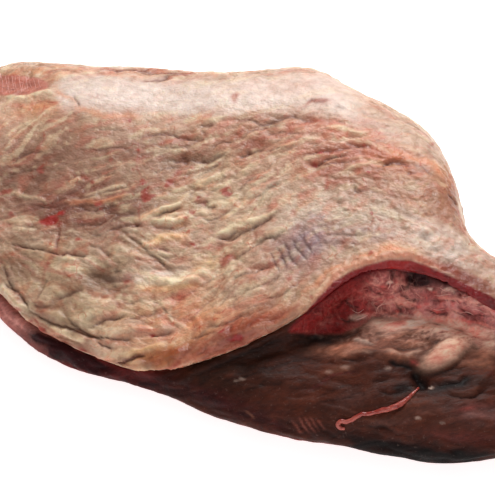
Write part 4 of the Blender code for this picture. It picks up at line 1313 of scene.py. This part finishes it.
def dress(piece, slot, material, *nodes):
    """Gives a finished piece its material and its body; its slot is not used."""
    piece.data.materials.clear()
    piece.data.materials.append(material)
    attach(piece, "root")
    if nodes:
        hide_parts(*nodes)


def between(skin, top, foot):
    """1 between two borders that run across the photograph, 0 outside, and the share of the way down."""
    across, down = skin.pixels[:, 0], skin.pixels[:, 1]
    high = np.interp(across, *np.array(top).T)
    low = np.interp(across, *np.array(foot).T)
    inside = ease((down - high + 3) / 3) * ease((low - down + 2) / 4)
    inside *= ease((across - top[0][0] + 2) / 6) * skin.facing
    return inside, (down - high) / np.maximum(low - high, 1.0)


def sculpt_fat(skin, settings):
    """Presses the folds, wrinkles and lumps of the fat into its points."""
    places = skin.places
    chosen, away, _ = skin.beside(BAND, BAND_WIDTH * 3)
    band = np.zeros(len(places))
    band[chosen] = np.exp(-((away / BAND_WIDTH) ** 4))
    skin.band = band * skin.facing
    skin.band *= 1 - 0.75 * skin.right_of(335, 45)
    skin.lobed = skin.right_of(255, 90) * skin.below(150, 40) * skin.facing
    calm = skin.ellipse((85, 145), 150, 42, 6) * 0.9 + skin.ellipse((60, 275), 85, 48, -8) * 0.4
    calm += skin.ellipse((25, 128), 50, 26, 30) * 0.9
    calm = np.minimum(calm + skin.ellipse((330, 200), 60, 30, 0) * 0.4, 0.9)
    folded = (1 - 0.85 * skin.band) * (1 - 0.7 * skin.lobed) * (0.5 + 0.5 * skin.facing) * (1 - calm)
    folds = skin.streaks(0.0120, 0.012, 3.1)
    ribs = skin.streaks(0.0085, 0.011, 15.9)
    wrinkles = skin.streaks(0.0055, 0.006, 7.7)
    fine = skin.streaks(0.0028, 0.003, 12.3, 2)
    skin.ribs = np.exp(-((ribs / 0.32) ** 2)) * folded
    skin.height += settings.fold_height * folded * (np.minimum(np.abs(folds), 1.8) - 0.8)
    skin.height += settings.rib_height * (skin.ribs - 0.3)
    skin.height += settings.wrinkle_height * folded * (np.minimum(np.abs(wrinkles), 1.8) - 0.8)
    skin.height += settings.fine_height * (1 - 0.6 * skin.band) * fine
    bent = places + 0.0016 * np.stack([wrinkles, fine, folds], axis=1)
    cells = cell_edges(bent, settings.lobule_size)
    lumpy = (0.2 + 0.8 * skin.lobed) * (1 - skin.band)
    skin.height += settings.lobule_height * (cells - 0.6) * lumpy
    # Fold valleys and the borders of the lobules, to be painted darker: painted shade.
    skin.valley = np.exp(-((folds / 0.24) ** 2)) * folded * 0.75
    skin.valley = np.maximum(skin.valley, np.exp(-((wrinkles / 0.26) ** 2)) * folded * 0.5)
    skin.valley = np.maximum(skin.valley, (1 - cells) * 0.5 * lumpy)
    skin.tone_noise = 0.6 * wrinkles + 0.5 * fine
    skin.press(FAT_CREASES, FAT_RIDGES, FAT_MOUNDS)


def paint_fat(skin, settings):
    """Colours the fat: its zones, streaks, creases and blood spots."""
    broad = perlin(skin.places, 0.028, 5.0)
    middle = perlin(skin.places, 0.011, 9.0)
    skin.colour[:] = linear(settings.pink_film)
    skin.paint(ease(broad * 1.6 + 0.35) * 0.6, linear(settings.dull_fat))
    skin.paint(ease(-broad * 1.8 - 0.1) * 0.5, linear(settings.pale_film))
    uneven = np.clip(1 + 0.55 * middle + 0.25 * skin.tone_noise, 0.2, 1.6)
    skin.paint_patches(FAT_PATCHES, uneven, settings)
    skin.paint(skin.band * (0.92 + 0.2 * middle), linear(settings.pale_fat))
    skin.paint((1 - skin.facing) * 0.7, linear(settings.pale_film))
    stain = skin.streaks(0.0070, 0.010, 40.0, 2)
    cream = skin.streaks(0.0060, 0.012, 44.0, 2)
    skin.paint(ease(stain * 0.7 - 0.25) * (1 - 0.9 * skin.band) * 0.55, linear(settings.red_film))
    skin.paint(ease(cream * 0.7 - 0.25) * (1 - 0.5 * skin.band) * 0.5, linear(settings.bright_fat))
    skin.paint(ease(-cream * 0.6 - 0.35) * (1 - skin.band) * 0.4, linear(settings.dark_film))
    skin.paint(skin.ribs * (0.28 + 0.3 * middle) * (1 - 0.6 * skin.lobed), linear(settings.pale_film))
    # Painted shade in the fold valleys and between the lobules.
    skin.paint(skin.valley * (0.5 + 0.4 * broad) * (1 - 0.3 * skin.lobed), linear(settings.crease) * 1.6)
    for line in FAT_RIDGES:
        skin.stroke(line, 0.4 + 0.2 * line.height, linear(settings.bright_fat))
    skin.paint_streaks(FAT_STREAKS, settings)
    for line in HATCH:
        skin.stroke(line._replace(width=HATCH_WIDTH), 0.55, linear(settings.blue_shade))
    # Painted shade and blood in the middle of each crease.
    skin.paint(skin.crease_shade * 0.85, linear(settings.crease))
    for patch in FAT_GLAZES:
        skin.glaze(patch, linear(getattr(settings, patch.colour)))
    skin.deepen(settings.richness)
    across, down = skin.pixels.T
    lip = np.interp(across, *np.array(FACE_TOP).T)
    under = ease((down - lip + 1.5) / 3) * ease((across - FACE_TOP[0][0] + 2) / 5)
    under *= ease((RIGHT_END - across) / 14)
    skin.paint(under, linear(settings.lip_meat))
    skin.paint(under * ease(middle * 1.6 + 0.1) * 0.6, linear(settings.lip_meat) * 0.5)
    skin.paint(under * skin.ellipse((396, 265), 34, 9, 2) * 0.95, linear(settings.blood))
    skin.paint(under * skin.ellipse((404, 263), 26, 6, 0) * 0.5, linear(settings.blood) * 1.3)
    skin.stained = (1 - 0.75 * skin.band) * (1 - under)
    opening = skin.ellipse(*WINDOW[:4], 1.0, True)
    skin.paint(ease((opening - 0.30) / 0.12), linear(settings.window))
    for spot in BLOOD_SPOTS:
        away = skin.marked - spot.centre
        ragged = np.hypot(away[:, 0], away[:, 1] * 1.25) * (1 + 0.6 * middle + 0.3 * skin.tone_noise)
        weight = ease(1.5 - ragged / spot.size * 1.35) * spot.strength * skin.facing * 0.9
        skin.paint(weight, linear(settings.blood))
    skin.paint(skin.ellipse((235, 97), 5, 4, 60, 2.0) * 0.7, linear(settings.rust))


class BRISKET_OT_fat_cap(bpy.types.Operator):
    """Make the folded fat cap that covers the lean meat"""

    bl_idname = "brisket.fat_cap"
    bl_label = "Fat Cap"

    def execute(self, context):
        settings = context.scene.brisket_fat
        piece = solid_copy("fat_cap", "folded_fat")
        step = settings.mesh_step * 1
        refine(piece, step, underside)
        skin = Skin(piece, View(context.scene.brisket_view), FAT_GRAIN, settings.relief)
        sculpt_fat(skin, settings)
        paint_fat(skin, settings)
        skin.keep("stained", skin.stained)
        skin.keep("edgeward", skin.right_of(330, 60) * skin.below(130, 60))
        skin.finish()
        dress(piece, "fat", fat_material(), "fat_cap")
        return {"FINISHED"}


def sculpt_lean(skin, settings):
    """Presses the membrane's streaks, the cut face's grain and the marked folds into the lean meat."""
    places = skin.places
    skin.cut, skin.down = between(skin, FACE_TOP, FACE_FOOT)
    streaks = skin.streaks(0.0042, 0.009, 2.2)
    folds = skin.streaks(0.010, 0.016, 6.4)
    lumps = perlin(skin.warped, 0.0055, 1.5) + 0.6 * perlin(places, 0.0026, 4.5)
    cells = cell_edges(skin.warped + 0.0030 * np.stack([lumps, streaks / 3, folds / 3], axis=1), 0.0062)
    skin.grainy = skin.cut * ease((skin.down - 0.12) / 0.2)
    bare = (1 - skin.cut) * (0.5 + 0.5 * skin.facing)
    skin.height += bare * settings.fibre_height * (np.minimum(np.abs(streaks), 1.8) - 0.8)
    skin.height += bare * settings.swell_height * (np.minimum(np.abs(folds), 1.8) - 0.8)
    skin.height += skin.grainy * settings.grain_height * (0.8 * (cells - 0.6) + 0.45 * lumps)
    threads = perlin(skin.warped, 0.0135, 31.0) + 0.35 * perlin(places, 0.0055, 33.0)
    torn = skin.grainy * skin.right_of(TORN_FROM, 50)
    skin.height += torn * (0.9 * lumps + 0.5 * np.exp(-((threads / 0.10) ** 2))) * settings.grain_height
    skin.streak_noise, skin.lump_noise, skin.cells, skin.thread_noise = streaks, lumps, cells, threads
    skin.press(MUSCLE_CREASES, MUSCLE_RIDGES, MUSCLE_MOUNDS)
    skin.height += skin.ellipse(*NODULE[:4], 1.7, True) * NODULE.height * MM


def paint_lean(skin, settings):
    """Colours the lean meat: raw sides, dark membrane, the cut face and its marbling."""
    broad = perlin(skin.places, 0.030, 2.0)
    middle = perlin(skin.places, 0.010, 8.0)
    skin.colour[:] = linear(settings.raw_meat)
    skin.paint(ease(broad * 1.5) * 0.5, linear(settings.red_membrane))
    skin.paint(ease(skin.lump_noise * 1.6 - 0.6) * 0.15, linear(settings.marbling))
    in_front = skin.facing * skin.right_of(150, 40)
    skin.paint(in_front, linear(settings.membrane))
    skin.paint(in_front * ease(skin.streak_noise * 0.5 - 0.1) * 0.5, linear(settings.brown_membrane))
    uneven = np.clip(1 + 0.4 * middle + 0.22 * skin.streak_noise, 0.15, 1.6)
    skin.paint_patches(MUSCLE_PATCHES, uneven, settings)
    skin.paint(skin.cut, linear(settings.face_meat))
    # The top of the cut face, under the lip, is painted darker: darker meat and painted shade.
    skin.paint(skin.cut * ease((0.24 - skin.down) / 0.12), linear(settings.face_band))
    torn = skin.right_of(TORN_FROM, 50)
    veined = ease(middle * 1.5 + 0.35 + 0.5 * torn)
    borders = skin.grainy * ease(0.6 - skin.cells * 1.7)
    skin.paint(borders * (0.2 + 0.35 * torn) * veined, linear(settings.marbling))
    paler = skin.right_of(TORN_FROM, 150)
    skin.paint(skin.grainy * (0.2 * torn + 0.8 * paler) * (0.75 + 0.8 * middle), linear(settings.pale_meat))
    skin.paint(skin.grainy * torn * ease(skin.lump_noise * 1.5 - 0.1) * 0.75, linear(settings.raw_bulge))
    threads = np.exp(-((skin.thread_noise / 0.10) ** 2)) * skin.grainy * torn
    skin.paint(threads * (0.6 + 0.8 * middle), linear(settings.marbling))
    skin.paint(skin.grainy * ease(-skin.lump_noise * 1.4 - 0.25) * 0.75, linear(settings.face_band))
    for line in FACE_CRACKS:
        skin.stroke(line, 0.85, linear(settings.black_blood))
    skin.torn = skin.grainy * (0.15 + 0.85 * torn) * ease(middle * 1.2 + 0.9)
    skin.torn = np.maximum(skin.torn, (1 - skin.facing) * 0.6 * ease(broad * 2 + 0.4))
    # The dark recess under the lip on the right: painted shade, with dark blood.
    recess_shade = skin.ellipse((436, 282), 38, 9, -14) + skin.ellipse((412, 272), 10, 12, 0)
    skin.paint(recess_shade * skin.cut * (0.9 + 0.7 * middle), linear(settings.black_blood) * 0.8)
    skin.torn *= 1 - 0.85 * np.minimum(recess_shade, 1.0)
    # Painted shade in the middle of each crease.
    skin.paint(skin.crease_shade * 0.75, linear(settings.black_shade))
    skin.paint_streaks(MUSCLE_STREAKS, settings)
    # Painted shade: the muscle's side in view, turned from the light behind, is painted darker.
    wet = (1 - skin.cut) * skin.facing * (0.4 + 0.6 * skin.right_of(60, 80))
    skin.colour *= 1 - settings.painted_front_shade * wet[:, None]
    uneven = np.clip(1 + 0.5 * middle + 0.3 * skin.streak_noise, 0.1, 1.6)
    skin.paint_patches(FASCIA_PATCHES, uneven, settings)
    fibres = skin.streaks(0.0038, 0.010, 51.0, 2)
    skin.sheet = skin.ellipse((428, 336), 66, 13, 0) * (1 - skin.cut)
    skin.paint(skin.sheet * ease(fibres * 0.8 - 0.25) * 0.3, linear(settings.bright_fascia))
    nodule = skin.ellipse(*NODULE[:4], 2.5, True)
    skin.paint(nodule, linear(settings.nodule_fat) * 0.82)
    # The nodule's upper part is painted lighter: a painted highlight.
    skin.paint(nodule * skin.ellipse((450, 350), 20, 7, 28), linear(settings.nodule_fat) * 0.95)
    skin.paint(nodule * ease(middle * 1.5) * 0.15, linear(settings.raw_bulge))
    skin.deepen(settings.richness)
    # Painted highlights and specks of white fat.
    for spot in MUSCLE_GLINTS:
        away = np.linalg.norm((skin.pixels - spot.centre) * (0.8, 1.6), axis=1)
        skin.paint(ease(1.5 - away / spot.size) * spot.strength * skin.facing, linear(settings.white_fat))


class BRISKET_OT_lean_meat(bpy.types.Operator):
    """Make the lean meat: the lower muscle, the cut face and the raw sides"""

    bl_idname = "brisket.lean_meat"
    bl_label = "Lean Meat"

    def execute(self, context):
        settings = context.scene.brisket_lean
        piece = solid_copy("lean_meat", "marbled_lean")
        step = settings.mesh_step * 1
        refine(piece, step, under_the_fat)
        skin = Skin(piece, View(context.scene.brisket_view), MUSCLE_GRAIN, settings.relief)
        sculpt_lean(skin, settings)
        paint_lean(skin, settings)
        skin.keep("cut", skin.cut)
        skin.keep("torn", skin.torn)
        skin.keep("sheet", skin.sheet)
        skin.finish()
        dress(piece, "lean", lean_material(), "lean_meat")
        return {"FINISHED"}


class Ground:
    """The finished surface that strands and the vein are laid on, found by pixel."""

    def __init__(self, piece, view):
        self.view = view
        self.start = Vector(view.place)
        corners = [vertex.co for vertex in piece.data.vertices]
        self.tree = BVHTree.FromPolygons(corners, [face.vertices for face in piece.data.polygons])

    def under(self, pixel):
        """The place and normal of the surface at a pixel."""
        place, normal, _, _ = self.tree.ray_cast(self.start, self.view.ray(pixel))
        if place is None:
            raise RuntimeError(f"nothing lies under pixel {tuple(pixel)}")
        return place, normal


def tube(name, ground, path, radii, lift):
    """A tapering tube laid on the ground along a path of pixels, radii and lift in metres."""
    line = smooth_path(path)
    widths = np.interp(np.linspace(0, 1, len(line)), np.linspace(0, 1, len(radii)), radii)
    data = bpy.data.curves.new(name, "CURVE")
    data.dimensions = "3D"
    data.bevel_depth = 1.0
    data.bevel_resolution = 2
    data.use_fill_caps = True
    spline = data.splines.new("POLY")
    spline.points.add(len(line) - 1)
    for point, pixel, radius in zip(spline.points, line, widths):
        place, normal = ground.under(pixel)
        point.co = (*(place + normal * (lift + radius * 0.1)), 1.0)
        point.radius = radius
    piece = bpy.data.objects.new(name, data)
    bpy.context.scene.collection.objects.link(piece)
    activate(piece)
    bpy.ops.object.convert(target="MESH")
    piece = bpy.context.view_layer.objects.active
    mend(piece, 1e-6)
    return piece


class BRISKET_OT_vein(bpy.types.Operator):
    """Make the vein that runs over the lower muscle to a knot"""

    bl_idname = "brisket.vein"
    bl_label = "Vein"

    def execute(self, context):
        settings = context.scene.brisket_vein
        ground = Ground(bpy.data.objects["marbled_lean"], View(context.scene.brisket_view))
        radii = [radius * MM for radius in VEIN_RADII]
        piece = tube("surface_vein", ground, VEIN_PIXELS, radii, VEIN_LIFT)
        round_off(piece, 2)
        piece.data.shade_smooth()
        for vertex in piece.data.vertices:
            vertex.co += vertex.normal * noise.noise(vertex.co / VEIN_LUMP_SIZE) * VEIN_LUMPS
        dress(piece, "vein", strand_material("vein", settings.vein_colour, settings.vein_blood), "vein")
        return {"FINISHED"}


class BRISKET_OT_strands(bpy.types.Operator):
    """Lay the connective strands over the window in the fat and on the cut face"""

    bl_idname = "brisket.strands"
    bl_label = "Strands"

    def execute(self, context):
        settings = context.scene.brisket_vein
        view = View(context.scene.brisket_view)
        material = strand_material("strand", settings.strand, settings.strand)
        for name, base, strands in (
            ("window_strands", "folded_fat", WINDOW_STRANDS),
            ("face_strands", "marbled_lean", FACE_STRANDS),
        ):
            ground = Ground(bpy.data.objects[base], view)
            made = []
            for strand in strands:
                radius = strand.width * MM * STRAND_RADIUS
                taper = (radius * 0.4, radius, radius, radius * 0.4)
                made.append(tube(name, ground, strand.path, taper, settings.strand_lift))
            activate(made[0])
            for piece in made:
                piece.select_set(True)
            bpy.ops.object.join()
            piece = bpy.context.view_layer.objects.active
            piece.name = name
            round_off(piece, 1)
            piece.data.shade_smooth()
            dress(piece, "fat", material)
        return {"FINISHED"}


def area_light(name, place, target, size, power):
    """A soft round light that points at the target."""
    data = bpy.data.lights.new(name, "AREA")
    data.shape = "DISK"
    data.size = size
    data.energy = power
    light = bpy.data.objects.new(name, data)
    light.location = place
    light.rotation_euler = (Vector(target) - Vector(place)).to_track_quat("-Z", "Y").to_euler()
    bpy.context.scene.collection.objects.link(light)


class BRISKET_OT_stage(bpy.types.Operator):
    """Set the pale floor, the soft lights and the photograph's camera"""

    bl_idname = "brisket.stage"
    bl_label = "Stage"

    def execute(self, context):
        scene = context.scene
        settings = scene.brisket_stage
        view = View(scene.brisket_view)
        bpy.ops.object.select_all(action="DESELECT")
        bpy.ops.mesh.primitive_plane_add(size=settings.floor_size, location=(0, 0, -FLOOR_DROP))
        floor = context.active_object
        floor.name = "floor"
        shader = Shader("floor")
        colour = rgb(settings.floor_tone)
        floor.data.materials.append(shader.finish(
            Base_Color=colour, Roughness=0.9, Specular_IOR_Level=0.1, Emission_Color=colour,
            Emission_Strength=settings.floor_glow,
        ))
        world = bpy.data.worlds.new("studio")
        world.use_nodes = True
        background = world.node_tree.nodes["Background"]
        background.inputs["Color"].default_value = (1.0, 0.99, 0.98, 1.0)
        background.inputs["Strength"].default_value = settings.world_light
        scene.world = world
        target = tuple(view.target)
        area_light("key", KEY_PLACE, target, KEY_SIZE, settings.key_power)
        area_light("fill", FILL_PLACE, target, FILL_SIZE, settings.fill_power)
        data = bpy.data.cameras.new("camera")
        data.sensor_width = SENSOR
        data.lens = SENSOR * scene.brisket_view.distance / scene.brisket_view.height
        camera = bpy.data.objects.new("camera", data)
        camera.location = view.place
        camera.rotation_mode = "QUATERNION"
        camera.rotation_quaternion = Vector(-view.back).to_track_quat("-Z", "Y")
        scene.collection.objects.link(camera)
        scene.camera = camera
        scene.view_settings.view_transform = "Standard"
        return {"FINISHED"}


class BRISKET_PT_panel(bpy.types.Panel):
    """The brisket's steps and settings"""

    bl_label = "Raw Beef Brisket"
    bl_space_type = "VIEW_3D"
    bl_region_type = "UI"
    bl_category = "Brisket"

    def draw(self, context):
        for operator in OPERATORS:
            self.layout.operator(operator.bl_idname)
        for name in SETTINGS:
            box = self.layout.box()
            group = getattr(context.scene, name)
            for key in group.__annotations__:
                box.prop(group, key)


OPERATORS = (
    BRISKET_OT_lean_meat,
    BRISKET_OT_fat_cap,
    BRISKET_OT_vein,
    BRISKET_OT_strands,
    BRISKET_OT_stage,
)
SETTINGS = {
    "brisket_view": ViewSettings,
    "brisket_fat": FatSettings,
    "brisket_lean": LeanSettings,
    "brisket_vein": VeinSettings,
    "brisket_stage": StageSettings,
}


def register():
    for made in (*SETTINGS.values(), *OPERATORS, BRISKET_PT_panel):
        bpy.utils.register_class(made)
    for name, group in SETTINGS.items():
        setattr(bpy.types.Scene, name, PointerProperty(type=group))


def unregister():
    for name in SETTINGS:
        delattr(bpy.types.Scene, name)
    for made in (BRISKET_PT_panel, *reversed(OPERATORS), *SETTINGS.values()):
        bpy.utils.unregister_class(made)


def main():
    register()
    bpy.ops.brisket.lean_meat()
    bpy.ops.brisket.fat_cap()
    bpy.ops.brisket.vein()
    bpy.ops.brisket.strands()
    bpy.ops.brisket.stage()


if __name__ == "__main__":
    main()
